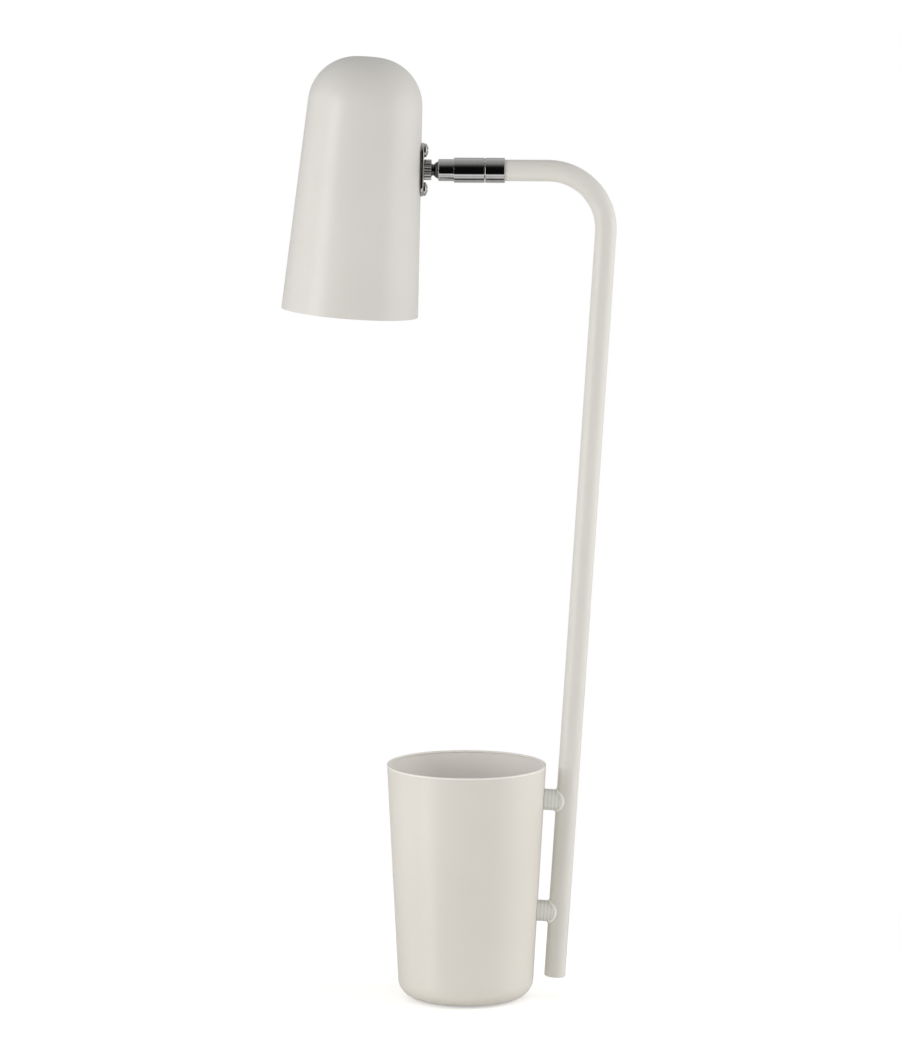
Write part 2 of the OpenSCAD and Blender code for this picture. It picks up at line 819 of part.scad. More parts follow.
module shade() {
    color(paint_white) difference() {
        in_shade() rotate_extrude() difference() {
            shade_region(0);
            shade_region(shade_wall);
        }
        on_stud() translate([0, 0, -wall_reach - shade_wall - over])
            clamp_holes(shade_wall + 2 * over);
    }
}

// Bent strap: one leg down the inside of the wall, one across to the axis
module holder_bracket() {
    outer_slip = (shade_wall + strap_sag) / cos(shade_angle);
    inner_slip = outer_slip + strap_t / cos(shade_angle);
    low = plate_h - plate_len / 2;
    color(steel) difference() {
        in_shade() {
            translate([0, strap_w / 2, 0]) rotate([90, 0, 0]) linear_extrude(strap_w)
                polygon([
                    [shade_r_at(low) - outer_slip, low],
                    [shade_r_at(strap_top) - outer_slip, strap_top],
                    [0, strap_top],
                    [0, strap_under],
                    [shade_r_at(strap_under) - inner_slip, strap_under],
                    [shade_r_at(low) - inner_slip, low]
                ]);
            translate([0, 0, strap_under]) cylinder(r = strap_eye_r, h = strap_t);
        }
        in_shade() translate([0, 0, strap_under - over])
            cylinder(r = holder_nipple_r + screw_fit, h = strap_t + 2 * over);
        on_stud() translate([0, 0, strap_back - over]) clamp_holes(strap_t + 2 * over);
    }
}

// ---- Lampholder and bulb ----

module holder_nipple() {
    low = strap_under - holder_thread_len;
    color(steel) in_shade() translate([0, 0, low]) ring(holder_nipple_r,
        holder_nipple_bore_r, strap_top + holder_nut_t + thread_show - low);
}

module holder_nut() {
    color(steel) in_shade() translate([0, 0, strap_top + seat_gap])
        hex_nut(holder_nut_across, holder_nut_t, holder_nipple_r + thread_fit);
}

module lampholder_cap() {
    top = holder_cap_len - 2 * seat_gap;
    color(black_plastic) in_shade() difference() {
        translate([0, 0, holder_cap_z + seat_gap]) rotate_extrude() polygon([
            [0, 0],
            [holder_r, 0],
            [holder_r, holder_cap_len / 2],
            [holder_neck_r, holder_cap_len - holder_neck_len],
            [holder_neck_r, top],
            [0, top]
        ]);
        translate([0, 0, holder_cap_z - over]) cylinder(r = holder_r - holder_wall,
            h = holder_cap_len / 2 + over - 1);
        translate([0, 0, strap_under - holder_thread_len - wire_gap])
            cylinder(r = holder_nipple_r + thread_fit, h = holder_thread_len + over);
        translate([0, 0, holder_cap_z]) cylinder(r = holder_nipple_bore_r,
            h = holder_cap_len);
        translate([0, 0, lead_entry_z]) rotate([0, 90, 0])
            cylinder(r = lead_y + lead_d, h = holder_r + over);
    }
}

module lampholder_body() {
    color(black_plastic) in_shade() translate([0, 0, holder_body_z]) difference() {
        ring(holder_r, holder_r - holder_wall - holder_ledge, holder_body_len - seat_gap);
        translate([0, 0, holder_body_len - core_sink - seat_gap])
            cylinder(r = holder_r - holder_wall, h = core_sink + over);
        for (i = [0 : grip_count - 1]) {
            rotate([0, 0, i * 360 / grip_count]) translate([holder_r, 0, -over])
                cylinder(r = grip_r, h = holder_body_len / 2 + over, $fn = 24);
        }
    }
}

module contact_core() {
    color(ceramic) in_shade() translate([0, 0, core_z])
        ring(holder_r - holder_wall - seat_gap, contact_r + thread_fit * 2, core_t);
}

module screw_shell() {
    color(brass) in_shade() translate([0, 0, core_z - shell_len - seat_gap])
        ring(shell_r + shell_t, shell_r, shell_len);
}

module centre_contact() {
    color(brass) in_shade() translate([0, 0, core_z - contact_head_t]) {
        cylinder(r = contact_head_r, h = contact_head_t - seat_gap);
        cylinder(r = contact_r, h = core_t * 0.8);
    }
}

// Screw cap of the bulb: round ridges, a cone and the contact at its tip
module bulb_cap() {
    r = bulb_cap_d / 2;
    groove_r = r - 0.7;
    ridge_r = 0.8;
    pitch = 2.8;
    tip_r = 2.4;
    wall_top = bulb_cap_len - 3;
    turns = floor((wall_top - 2) / pitch);
    color(brass) in_shade() translate([0, 0, bulb_neck_z]) difference() {
        union() {
            cylinder(r = groove_r, h = wall_top);
            for (i = [0 : turns - 1]) {
                translate([0, 0, 2 + i * pitch]) rotate_extrude()
                    translate([r - ridge_r, 0]) circle(r = ridge_r);
            }
            translate([0, 0, wall_top]) cylinder(r1 = groove_r, r2 = tip_r + 1, h = 2);
            translate([0, 0, wall_top + 2]) cylinder(r = tip_r, h = 1.4);
        }
        translate([0, 0, -over]) cylinder(r = groove_r - 1.3, h = wall_top + over - 1);
    }
}

// Half section of the bulb's glass up to its neck, drawn in by t, from the ball's centre
module bulb_region(t) {
    r = bulb_d / 2 - t;
    neck_r = bulb_neck_r - t;
    polygon([
        [0, 0],
        [r * cos(bulb_leave), r * sin(bulb_leave)],
        [neck_r, (r - neck_r * cos(bulb_leave)) / sin(bulb_leave)],
        [neck_r, bulb_shoulder_z + bulb_neck_len - seat_gap],
        [0, bulb_shoulder_z + bulb_neck_len - seat_gap]
    ]);
    intersection() {
        circle(r = r);
        translate([0, -bulb_d / 2]) square(bulb_d);
    }
}

module bulb_glass() {
    color(frosted) in_shade() translate([0, 0, bulb_ball_z]) rotate_extrude()
        difference() {
            bulb_region(0);
            bulb_region(bulb_wall);
        }
}

// Two leads from the ball through the shank, up beside the nuts and into the cap
module socket_leads() {
    r = lead_d / 2;
    turn_z = shank_end - lead_tail;
    rise = (lead_entry_z - plate_h) / cos(shade_angle);
    color(black_rubber) for (side = [-1, 1]) {
        on_stud() translate([0, side * lead_y, turn_z]) {
            cylinder(r = r, h = lead_start_z - turn_z);
            translate([-lead_bend_r, 0, 0]) rotate([90, 0, 0]) rotate([0, 0, -90])
                rotate_extrude(angle = 90) translate([lead_bend_r, 0]) circle(r = r);
            translate([-lead_bend_r, 0, -lead_bend_r]) rotate([0, -90, 0])
                cylinder(r = r, h = rise - 2 * lead_bend_r);
            translate([lead_bend_r - rise, 0, -2 * lead_bend_r]) rotate([90, 0, 0])
                rotate([0, 0, 90]) rotate_extrude(angle = 90)
                    translate([lead_bend_r, 0]) circle(r = r);
            translate([-rise, 0, -2 * lead_bend_r - lead_tail])
                cylinder(r = r, h = lead_tail);
        }
    }
}

cup();
foot_pad();
ballast();
ballast_screw();
cup_liner();
lower_spacer();
upper_spacer();
spacer_screws();
cup_washers();
stem_tube();
inlet_bush();
stem_wire();
rear_collar();
swivel_nipple();
swivel_locknut();
friction_washer();
stop_pin();
swivel_barrel();
swivel_nose();
spring_seat();
disc_springs();
ball_cup();
swivel_wire();
ball_stud();
lock_ring();
swivel_plate();
plate_screws();
plate_nuts();
stud_nut();
shade();
holder_bracket();
holder_nipple();
holder_nut();
lampholder_cap();
lampholder_body();
contact_core();
screw_shell();
centre_contact();
bulb_cap();
bulb_glass();
socket_leads();
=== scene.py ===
# %% [markdown]
# # A desk lamp that stands on a pen cup
#
# The lamp is a painted steel cup, a bent tube on two spacers, a chromed turning sleeve with a
# ball joint, and a bell-shaped shade with its lampholder and bulb. The fixed frame comes from
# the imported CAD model: each of its nodes is already in its place, in metres. This lesson gives
# every node its finish, and makes new surfaces where the eye wants more than the plain solid
# shows: threads, knurls, rolled edges, cross recesses, cables and felt.
#
# The frame comes first, because everything else is set against it.

# %% Load the frame
import json
import math

import bmesh
import bpy
import numpy as np
from mathutils import Matrix, Vector


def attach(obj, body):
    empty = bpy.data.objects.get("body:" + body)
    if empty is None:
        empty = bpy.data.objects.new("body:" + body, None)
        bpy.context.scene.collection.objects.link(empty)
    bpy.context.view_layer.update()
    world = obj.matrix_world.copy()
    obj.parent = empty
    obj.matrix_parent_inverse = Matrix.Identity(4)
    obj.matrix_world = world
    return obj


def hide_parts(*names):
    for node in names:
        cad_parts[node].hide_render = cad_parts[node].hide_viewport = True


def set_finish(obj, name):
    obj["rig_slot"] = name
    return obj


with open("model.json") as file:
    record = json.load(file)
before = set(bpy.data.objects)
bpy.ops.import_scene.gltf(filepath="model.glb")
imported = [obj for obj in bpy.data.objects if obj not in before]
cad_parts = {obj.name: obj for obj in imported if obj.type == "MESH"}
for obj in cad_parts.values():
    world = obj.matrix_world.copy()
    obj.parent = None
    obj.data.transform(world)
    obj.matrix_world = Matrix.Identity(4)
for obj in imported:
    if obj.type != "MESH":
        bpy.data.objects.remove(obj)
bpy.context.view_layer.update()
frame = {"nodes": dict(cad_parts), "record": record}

# %% [markdown]
# ## The sizes that the new surfaces share with the solids
#
# A new surface has to sit exactly where its solid sits. The sizes could be measured from the
# nodes' boxes, but a box says nothing of a lean or a bore, so the few that matter are written
# down once, in millimetres, with the angles in radians.

# %% Sizes in millimetres
SEAT_GAP, THREAD_FIT, SCREW_FIT = 0.05, 0.05, 0.2
CUP_RIM_D, CUP_BASE_D, CUP_H, CUP_WALL, FOOT_T = 90, 75.8, 133.4, 1, 0.8
CUP_SLOPE = (CUP_RIM_D - CUP_BASE_D) / 2 / CUP_H
STEM_R, STEM_LEAN, STEM_FOOT_Z, STEM_LOW_X = 6.0, math.radians(3.5), 12.3, 52.908
SPACER_LOW_Z, SPACER_PITCH = 49.6, 64.0
SPACER_HEIGHTS = (SPACER_LOW_Z, SPACER_LOW_Z + SPACER_PITCH)
ARM_Z, BEND_R = 470.6, 32.5
SLEEVE_R, COLLAR_X, COLLAR_LEN = 7.0, 9.1, 10.95
BARREL_X, BARREL_LEN, NOSE_R, MOUTH_X = -8.3, 17.1, 6.15, -17.2
BALL_X, BALL_R, SOCKET_R = -15.4, 5.2, 5.26
SHADE_RIM_D, SHADE_TOP_D, SHADE_LEN, SHADE_WALL = 76.7, 61, 143.1, 1
SHADE_LEAN = math.radians(4.14)
SHADE_SLOPE = math.atan((SHADE_RIM_D - SHADE_TOP_D) / 2 / SHADE_LEN)
PLATE_H, PLATE_T, WALL_REACH, SCREW_PITCH = 82.7, 1.5, 11.3, 21.6
STRAP_W, STRAP_T, STRAP_TOP = 12, 1.5, 112
PLATE_NUT_T, STUD_NUT_T, THREAD_SHOW = 3.2, 4, 1.5
HOLDER_CAP_LEN = 16


def stem_x(z):
    """Place of the stem's axis along X at height z: a straight line that leans."""
    return STEM_LOW_X + (z - SPACER_LOW_Z) * math.tan(STEM_LEAN)


def cup_r(z):
    """Radius of the cup's outer cone at height z over the table."""
    return CUP_BASE_D / 2 + (z - FOOT_T) * CUP_SLOPE


def shade_r(z):
    """Radius of the shade's cone at height z over its rim."""
    return SHADE_RIM_D / 2 - z * math.tan(SHADE_SLOPE)


STRAP_SAG = (STRAP_W / 2) ** 2 / 2 / (shade_r(PLATE_H) - SHADE_WALL) + SCREW_FIT
STRAP_BACK = -WALL_REACH - SHADE_WALL - STRAP_SAG - STRAP_T
SHANK_END = STRAP_BACK - STUD_NUT_T - THREAD_SHOW
print("strap's back", round(STRAP_BACK, 3), "shank's end", round(SHANK_END, 3))

# %% [markdown]
# ## Places to build in
#
# A screw or a ring is easiest to describe upright on its own axis. Each place below is a
# rotation and an origin that carry such a shape to where it belongs: along the arm, on the
# ball's stud, up the shade's axis, or on a spacer. Moving the points themselves, and not the
# object, leaves every object at the origin, as the CAD nodes are, so a pattern on Object
# coordinates never slides.

# %% Places
def turn_y(angle):
    """Matrix that turns about Y, from +Z towards +X."""
    c, s = math.cos(angle), math.sin(angle)
    return np.array([[c, 0, s], [0, 1, 0], [-s, 0, c]])


def inside(outer, turn, origin):
    """A place given within another place: both turns and both shifts combined."""
    return outer[0] @ turn, outer[0] @ np.array(origin, float) + outer[1]


def moved(place, x=0, z=0):
    """The same place, shifted by x and z along its own axes."""
    return inside(place, np.eye(3), (x, 0, z))


TABLE = (np.eye(3), np.zeros(3))
STUD_TILT = SHADE_SLOPE - SHADE_LEAN
RIM = np.array([
    BALL_X - WALL_REACH * math.cos(STUD_TILT)
    - shade_r(PLATE_H) * math.cos(SHADE_LEAN) - PLATE_H * math.sin(SHADE_LEAN),
    0,
    ARM_Z - WALL_REACH * math.sin(STUD_TILT)
    + shade_r(PLATE_H) * math.sin(SHADE_LEAN) - PLATE_H * math.cos(SHADE_LEAN),
])
IN_SHADE = (turn_y(SHADE_LEAN), RIM)
ON_WALL = inside(IN_SHADE, turn_y(math.pi / 2 - SHADE_SLOPE), (shade_r(PLATE_H), 0, PLATE_H))
ON_STUD = moved(ON_WALL, z=WALL_REACH)


def along_arm(x):
    """Place on the arm's axis at x, with +Z along the arm."""
    return turn_y(math.pi / 2), np.array([x, 0, ARM_Z])


def on_spacer(z):
    """Place on the stem's axis at height z, with +Z towards the cup."""
    return turn_y(STEM_LEAN - math.pi / 2), np.array([stem_x(z), 0, z])


print("shade's rim centre", RIM.round(2), "ball", ON_STUD[1].round(2))

# %% [markdown]
# ## From a grid of points to a mesh
#
# Nearly every new piece is a grid: one direction runs along a section, the other round an axis
# or along an outline. Blender could make the same shapes with Spin or Screw, but a grid worked
# out in numpy takes a formula at every point at once, so a thread or a knurl is one line of
# arithmetic. The last column joins the first where the shape goes round, points that meet at a
# pole are merged, and the normals are worked out afresh so that they point outwards.

# %% Grid to mesh
def linked(name, data):
    """A new object that shows this mesh, lamp or camera, linked to the scene."""
    thing = bpy.data.objects.new(name, data)
    bpy.context.scene.collection.objects.link(thing)
    return thing


def surface(name, points, closed=True, sharp=40):
    """Mesh from points[i, j]: each face joins (i, j), (i + 1, j), (i + 1, j + 1), (i, j + 1).
    j goes round and closes on itself, and i does too where closed is true."""
    rows, columns = points.shape[:2]
    i = np.arange(rows if closed else rows - 1)[:, None]
    j = np.arange(columns)[None]
    below, beside = (i + 1) % rows, (j + 1) % columns
    faces = np.stack([i * columns + j, below * columns + j,
                      below * columns + beside, i * columns + beside], -1).reshape(-1, 4)
    mesh = bpy.data.meshes.new(name)
    mesh.from_pydata((points.reshape(-1, 3) / 1000).tolist(), [], faces.tolist())
    tidy = bmesh.new()
    tidy.from_mesh(mesh)
    bmesh.ops.remove_doubles(tidy, verts=tidy.verts, dist=1e-7)
    bmesh.ops.dissolve_degenerate(tidy, edges=tidy.edges, dist=1e-8)
    bmesh.ops.recalc_face_normals(tidy, faces=tidy.faces)
    tidy.to_mesh(mesh)
    tidy.free()
    mesh.shade_smooth()
    mesh.set_sharp_from_angle(angle=math.radians(sharp))
    return linked(name, mesh)


def joined(name, parts):
    """One object from several: the meshes are put together and the parts removed."""
    whole = bmesh.new()
    for part in parts:
        whole.from_mesh(part.data)
        bpy.data.objects.remove(part)
    mesh = bpy.data.meshes.new(name)
    whole.to_mesh(mesh)
    whole.free()
    return linked(name, mesh)


# %% [markdown]
# ## Sections with round corners
#
# No real edge is perfectly sharp: a turned edge is broken, a pressed one is rounded, and the
# small arc is what catches a line of light. The section below swaps each corner for an arc and
# sets one more point on the flat beside it, so that smooth shading stays on the arc and leaves
# the flats flat.

# %% Sections and turned shapes
def rounded(corners, steps=6, closed=True):
    """Section through corners (r, z, size). A corner of size 0 stays. Any other gives way to
    an arc of that radius, whose ends lie size / tan(half angle) from the corner and whose
    centre lies on the bisector, size / sin(half angle) away."""
    corners = np.array(corners, float)
    spots, run = corners[:, :2], []
    for k, size in enumerate(corners[:, 2]):
        here = spots[k]
        if size == 0 or (not closed and k in (0, len(spots) - 1)):
            run.append(here[None])
            continue
        back = spots[k - 1] - here
        ahead = spots[(k + 1) % len(spots)] - here
        room = min(np.linalg.norm(back), np.linalg.norm(ahead))
        back, ahead = back / np.linalg.norm(back), ahead / np.linalg.norm(ahead)
        half = math.acos(float(back @ ahead)) / 2
        reach = size / math.tan(half)
        middle = back + ahead
        centre = here + middle / np.linalg.norm(middle) * size / math.sin(half)
        first, last = here + back * reach - centre, here + ahead * reach - centre
        start = math.atan2(first[1], first[0])
        swing = math.atan2(last[1], last[0]) - start
        swing = (swing + math.pi) % (2 * math.pi) - math.pi
        angle = start + swing * np.linspace(0, 1, steps + 1)
        arc = centre + size * np.stack([np.cos(angle), np.sin(angle)], 1)
        spare = min(size * 0.4, max(room / 2 - reach, 0) * 0.9)
        run += [(here + back * (reach + spare))[None], arc, (here + ahead * (reach + spare))[None]]
    return np.concatenate(run)


def dense(section, step, closed=True):
    """The same section with points at most step apart, by straight lines between its points."""
    ends = np.concatenate([section, section[:1]]) if closed else section
    cuts = []
    for a, b in zip(ends[:-1], ends[1:]):
        count = max(1, math.ceil(np.linalg.norm(b - a) / step))
        cuts.append(a + (b - a) * (np.arange(count) / count)[:, None])
    if not closed:
        cuts.append(section[-1:])
    return np.concatenate(cuts)


def spun(section, around=128):
    """Points (r cos a, r sin a, z) for each point (r, z) of the section and each angle a."""
    a = np.linspace(0, 2 * math.pi, around, endpoint=False)
    r, z = section[:, :1], section[:, 1:]
    return np.stack([r * np.cos(a), r * np.sin(a), z + 0 * a], -1)


def put(points, place):
    """Points carried from their own upright frame to a place on the lamp."""
    return points @ place[0].T + place[1]


new_pieces = []


def fit(piece, body, slot, *nodes):
    """The piece rides on its body, takes its slot's finish and stands for its nodes."""
    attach(piece, body)
    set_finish(piece, slot)
    if nodes:
        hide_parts(*nodes)
    new_pieces.append(piece)
    print(f"{piece.name}: {len(piece.data.polygons)} faces, for {', '.join(nodes) or 'trim'}")


# %% [markdown]
# ## The turning sleeve
#
# The sleeve is three turned and chromed pieces in one line: a collar that stands still against
# the painted arm, a barrel that turns on the nipple, and a slightly slimmer nose that holds the
# ball. On the real one the edges are broken by a tenth or three, so the seam shows as a bright
# line. A cylinder with a Bevel modifier would round its edges too, but a section turned about
# the arm gives outside, bore and edges in one go.

# %% Collar, barrel and nose
NIPPLE_R, RUN_R, CAVITY_R, THREAD_R = 4.65, 4.66, 5.9, 6.1
REAR_WALL, THREAD_LEN, NOSE_LEN, TAIL_END = 3, 6, 8.85, 13.6
collar = surface("sleeve_collar", put(spun(rounded([
    (NIPPLE_R, 0, 0.1), (SLEEVE_R, 0, 0.35), (SLEEVE_R, COLLAR_LEN, 0.4),
    (NIPPLE_R, COLLAR_LEN, 0.1),
])), along_arm(COLLAR_X)))
fit(collar, "stand", "chrome", "rear_collar")

barrel = surface("sleeve_barrel", put(spun(rounded([
    (NOSE_R, 0, 0.1), (SLEEVE_R, 0, 0.08), (SLEEVE_R, BARREL_LEN, 0.35),
    (RUN_R, BARREL_LEN, 0.1), (RUN_R, BARREL_LEN - REAR_WALL, 0.1),
    (CAVITY_R, BARREL_LEN - REAR_WALL, 0.2), (CAVITY_R, THREAD_LEN, 0), (NOSE_R, THREAD_LEN, 0),
])), along_arm(BARREL_X)))
fit(barrel, "swivel", "chrome", "swivel_barrel")

ball_at = BALL_X - MOUTH_X
lip_r = math.sqrt(SOCKET_R ** 2 - ball_at ** 2)
bowl_angle = np.linspace(0, -math.asin(ball_at / SOCKET_R), 24)
bowl = np.stack([SOCKET_R * np.cos(bowl_angle), ball_at + SOCKET_R * np.sin(bowl_angle)], 1)
outside = rounded([
    (lip_r, 0, 0), (NOSE_R, 0, 0.8), (NOSE_R, NOSE_LEN, 0), (THREAD_R, NOSE_LEN, 0),
    (THREAD_R, TAIL_END, 0.3), (SOCKET_R, TAIL_END, 0),
], closed=False)
nose = surface("socket_nose", put(spun(np.concatenate([outside, bowl])), along_arm(MOUTH_X)))
fit(nose, "swivel", "chrome", "swivel_nose")

# %% [markdown]
# ## Threads
#
# A screw thread is a V-shaped groove that climbs by one pitch in each turn. Modelling it as a
# helix swept round a rod gives ends that are hard to close. Here the rod is a fine grid, and
# every point sinks by a wave of its angle and height, so the groove winds by itself and fades
# out where the shank meets the head.

# %% Threads
def threaded(points, low, high, pitch, depth):
    """Points of a spun shape whose radius shrinks by depth times a triangle wave of
    z / pitch - a / (2 pi), between the heights low and high, fading over half a pitch."""
    x, y, z = points[..., 0], points[..., 1], points[..., 2]
    turn = z / pitch - np.arctan2(y, x) / (2 * math.pi)
    wave = np.abs(2 * (turn - np.floor(turn)) - 1)
    fade = np.clip((z - low) / pitch * 2, 0, 1) * np.clip((high - z) / pitch * 2, 0, 1)
    r = np.hypot(x, y)
    share = np.where(r > depth, (r - depth * wave * fade) / np.maximum(r, 1e-9), 1)
    return np.stack([x * share, y * share, z], -1)


# %% [markdown]
# ## Pan head screws
#
# The plate is held by two pan head screws with a cross recess, M4, and two more hold the cup to
# its spacers from inside. The head is cold-formed: a low dome with a round shoulder. The cross
# is pressed in and tapers towards its middle. A Boolean with a cross would leave ragged faces,
# so the dome's own grid is pressed down by a cross-shaped formula.

# %% Screw shape
def cross_depth(x, y, arm, half_width, depth):
    """Depth of the recess at (x, y): full within half_width of an arm's middle line, less
    towards the arm's end, and a little more in the middle, with walls a tenth wide."""
    near, far = np.minimum(abs(x), abs(y)), np.maximum(abs(x), abs(y))
    width = half_width * (1.35 - 0.5 * far / arm)
    walls = np.clip((width - near) / 0.12, 0, 1) * np.clip((arm - far) / 0.3, 0, 1)
    return depth * walls * (1 - 0.35 * far / arm)


def pan_screw(d, shank, pitch):
    """Points of a pan head screw on +Z, its head up from z = 0 and its shank down."""
    head_r, head_h = d * 0.97, d * 0.6
    dome_h = head_h * 0.6
    dome_r = (head_r ** 2 + dome_h ** 2) / dome_h / 2
    dome_z = head_h - dome_r
    rho = np.linspace(0, head_r - 0.25, 46)
    dome = np.stack([rho, dome_z + np.sqrt(dome_r ** 2 - rho ** 2)], 1)
    edge_z = dome_z + math.sqrt(dome_r ** 2 - head_r ** 2)
    rest = rounded([
        (dome[-2, 0], dome[-2, 1], 0), (head_r, edge_z + 0.03, 0.2), (head_r, 0, 0.08),
        (d / 2, 0, 0.1), (d / 2, -shank, 0.45), (0, -shank, 0),
    ], closed=False)[1:]
    section = np.concatenate([dome[:-1], dense(rest, 0.16, closed=False)])
    points = spun(section, 96)
    x, y, z = points[..., 0], points[..., 1], points[..., 2]
    on_dome = (z > 0.3 * head_h) & (np.hypot(x, y) < head_r * 0.8)
    sunk = cross_depth(x, y, head_r * 0.6, d * 0.115, head_h * 0.75)
    points[..., 2] -= np.where(on_dome, sunk, 0)
    return threaded(points, -shank, -0.6, pitch, d * 0.075)


# %% The screws in their places
M4, M4_PITCH, M5, M5_PITCH = 4, 0.7, 5, 0.8
PLATE_SCREW_LEN, BALLAST_SCREW_LEN, BALLAST_SCREW_Z, TIP_GAP = 10, 8, 3.95, 0.6
WASHER_D, WASHER_T = 9.6, 0.8
PLATE_FRONT = SEAT_GAP - WALL_REACH + PLATE_T
plate_screws = joined("cross_recess_plate_screws", [
    surface("screw", put(pan_screw(M4, PLATE_SCREW_LEN, M4_PITCH), moved(
        ON_STUD, side * SCREW_PITCH / 2, PLATE_FRONT + SEAT_GAP)), closed=False)
    for side in (-1, 1)])
fit(plate_screws, "head", "chrome", "plate_screws")


def cup_screw_seat(z):
    """Distance from the stem's axis to the underside of the screw's head, along the spacer:
    to the cup's wall, through it, and over the washer that bridges the hollow wall."""
    reach = (stem_x(z) - cup_r(z)) / (math.cos(STEM_LEAN) + CUP_SLOPE * math.sin(STEM_LEAN))
    bridge = (WASHER_D / 2) ** 2 / (2 * (cup_r(z) - CUP_WALL))
    return reach + CUP_WALL + SEAT_GAP + bridge + WASHER_T + SEAT_GAP


cup_screws = joined("cross_recess_cup_screws", [
    surface("screw", put(pan_screw(M4, cup_screw_seat(z) - STEM_R - TIP_GAP, M4_PITCH), moved(
        on_spacer(z), z=cup_screw_seat(z))), closed=False)
    for z in SPACER_HEIGHTS])
fit(cup_screws, "stand", "plain_steel", "spacer_screws")

ballast_screw = surface("cross_recess_ballast_screw", put(
    pan_screw(M5, BALLAST_SCREW_LEN, M5_PITCH) * [1, -1, -1], moved(TABLE, z=BALLAST_SCREW_Z)),
    closed=False)
fit(ballast_screw, "stand", "plain_steel", "ballast_screw")

# %% [markdown]
# ## Nuts
#
# A hexagon nut is a six-sided prism whose corners are turned off at 30 degrees, which leaves a
# curved line on each flat. Its outside is the smaller of two radii at each angle and height:
# that of the hexagon and that of the turning cone. Taking the smaller one draws those curves
# without any cutting.

# %% Nuts
def hex_nut(across, height, bore, turn=0):
    """Points of a nut on +Z: a ring whose outer radius is the smaller of
    across / 2 / cos(angle to the nearest flat) and a cone that opens at 60 degrees."""
    edge, mouth = 0.7, 0.35
    a = np.linspace(0, 2 * math.pi, 144, endpoint=False)
    flat = (a + math.pi / 6) % (math.pi / 3) - math.pi / 6
    hexagon = across / 2 / np.cos(flat)
    z = np.concatenate([np.linspace(0, edge, 12), np.linspace(height - edge, height, 12)])[:, None]
    cone = across * 0.485 + np.minimum(z, height - z) * math.tan(math.pi / 3)
    outer = np.minimum(hexagon, cone)
    inner_z = np.array([[height], [height - mouth], [mouth], [0]])
    inner = np.array([[bore + mouth], [bore], [bore], [bore + mouth]]) + 0 * a
    r = np.concatenate([outer, inner])
    z = np.concatenate([z, inner_z]) + 0 * a
    return np.stack([r * np.cos(a + turn), r * np.sin(a + turn), z], -1)


HALF_FLAT, SHANK_D, NIPPLE_D, HOLDER_NUT_T = math.pi / 6, 8, 10, 3
PLATE_NUT_ACROSS, STUD_NUT_ACROSS, HOLDER_NUT_ACROSS = M4 * 1.75, 12, 14
plate_nuts = joined("plate_screw_nuts", [
    surface("nut", put(
        hex_nut(PLATE_NUT_ACROSS, PLATE_NUT_T, M4 / 2 + THREAD_FIT, HALF_FLAT), moved(
            ON_STUD, side * SCREW_PITCH / 2, STRAP_BACK - PLATE_NUT_T - SEAT_GAP)), sharp=25)
    for side in (-1, 1)])
fit(plate_nuts, "head", "plain_steel", "plate_nuts")

stud_nut = surface("stud_lock_nut", put(
    hex_nut(STUD_NUT_ACROSS, STUD_NUT_T, SHANK_D / 2 + THREAD_FIT), moved(
        ON_STUD, z=STRAP_BACK - STUD_NUT_T - SEAT_GAP)), sharp=25)
fit(stud_nut, "head", "plain_steel", "stud_nut")

holder_nut = surface("lampholder_lock_nut", put(
    hex_nut(HOLDER_NUT_ACROSS, HOLDER_NUT_T, NIPPLE_D / 2 + THREAD_FIT, HALF_FLAT), moved(
        IN_SHADE, z=STRAP_TOP + SEAT_GAP)), sharp=25)
fit(holder_nut, "head", "plain_steel", "holder_nut")

# %% [markdown]
# ## Ball, neck and lock ring
#
# The ball and its threaded shank are turned from one bar, with a waist between them that lets
# the shade tip over. The knurled ring in front of the plate locks the shank. Its grooves are
# rolled in, so they have round bottoms and the ring's edges are chamfered. Twenty separate
# cuts would do it, but a cosine round the ring presses all the grooves at once.

# %% Ball stud and lock ring
NECK_R, NECK_FLARE, NECK_END, SHANK_R, BORE_R, BORE_TOP = 3.1, 0.75, -5.45, 3.98, 2.0, 4.76
ball_angle = np.linspace(math.radians(67), -math.radians(52), 48)
ball = np.stack([BALL_R * np.cos(ball_angle), BALL_R * np.sin(ball_angle)], 1)
waist = np.linspace(0, 1, 14)[1:]
waist_z = ball[-1, 1] + (NECK_END - ball[-1, 1]) * waist
waist_r = NECK_R + (ball[-1, 0] - NECK_R) * (1 - waist) ** 3 + NECK_FLARE * waist ** 4
stud_rest = dense(rounded([
    (NECK_R + NECK_FLARE, NECK_END, 0), (SHANK_R, NECK_END - 0.45, 0),
    (SHANK_R, SHANK_END, 0.35), (BORE_R, SHANK_END, 0.2), (BORE_R, BORE_TOP, 0),
], closed=False), 0.15, closed=False)
stud_section = np.concatenate([ball, np.stack([waist_r, waist_z], 1), stud_rest[1:]])
STUD_THREAD_TOP, STUD_PITCH, STUD_THREAD_DEPTH = -11.5, 1.0, 0.3
stud = surface("ball_neck_and_shank", put(threaded(
    spun(stud_section), SHANK_END, STUD_THREAD_TOP, STUD_PITCH, STUD_THREAD_DEPTH), ON_STUD))
fit(stud, "head", "chrome", "ball_stud")

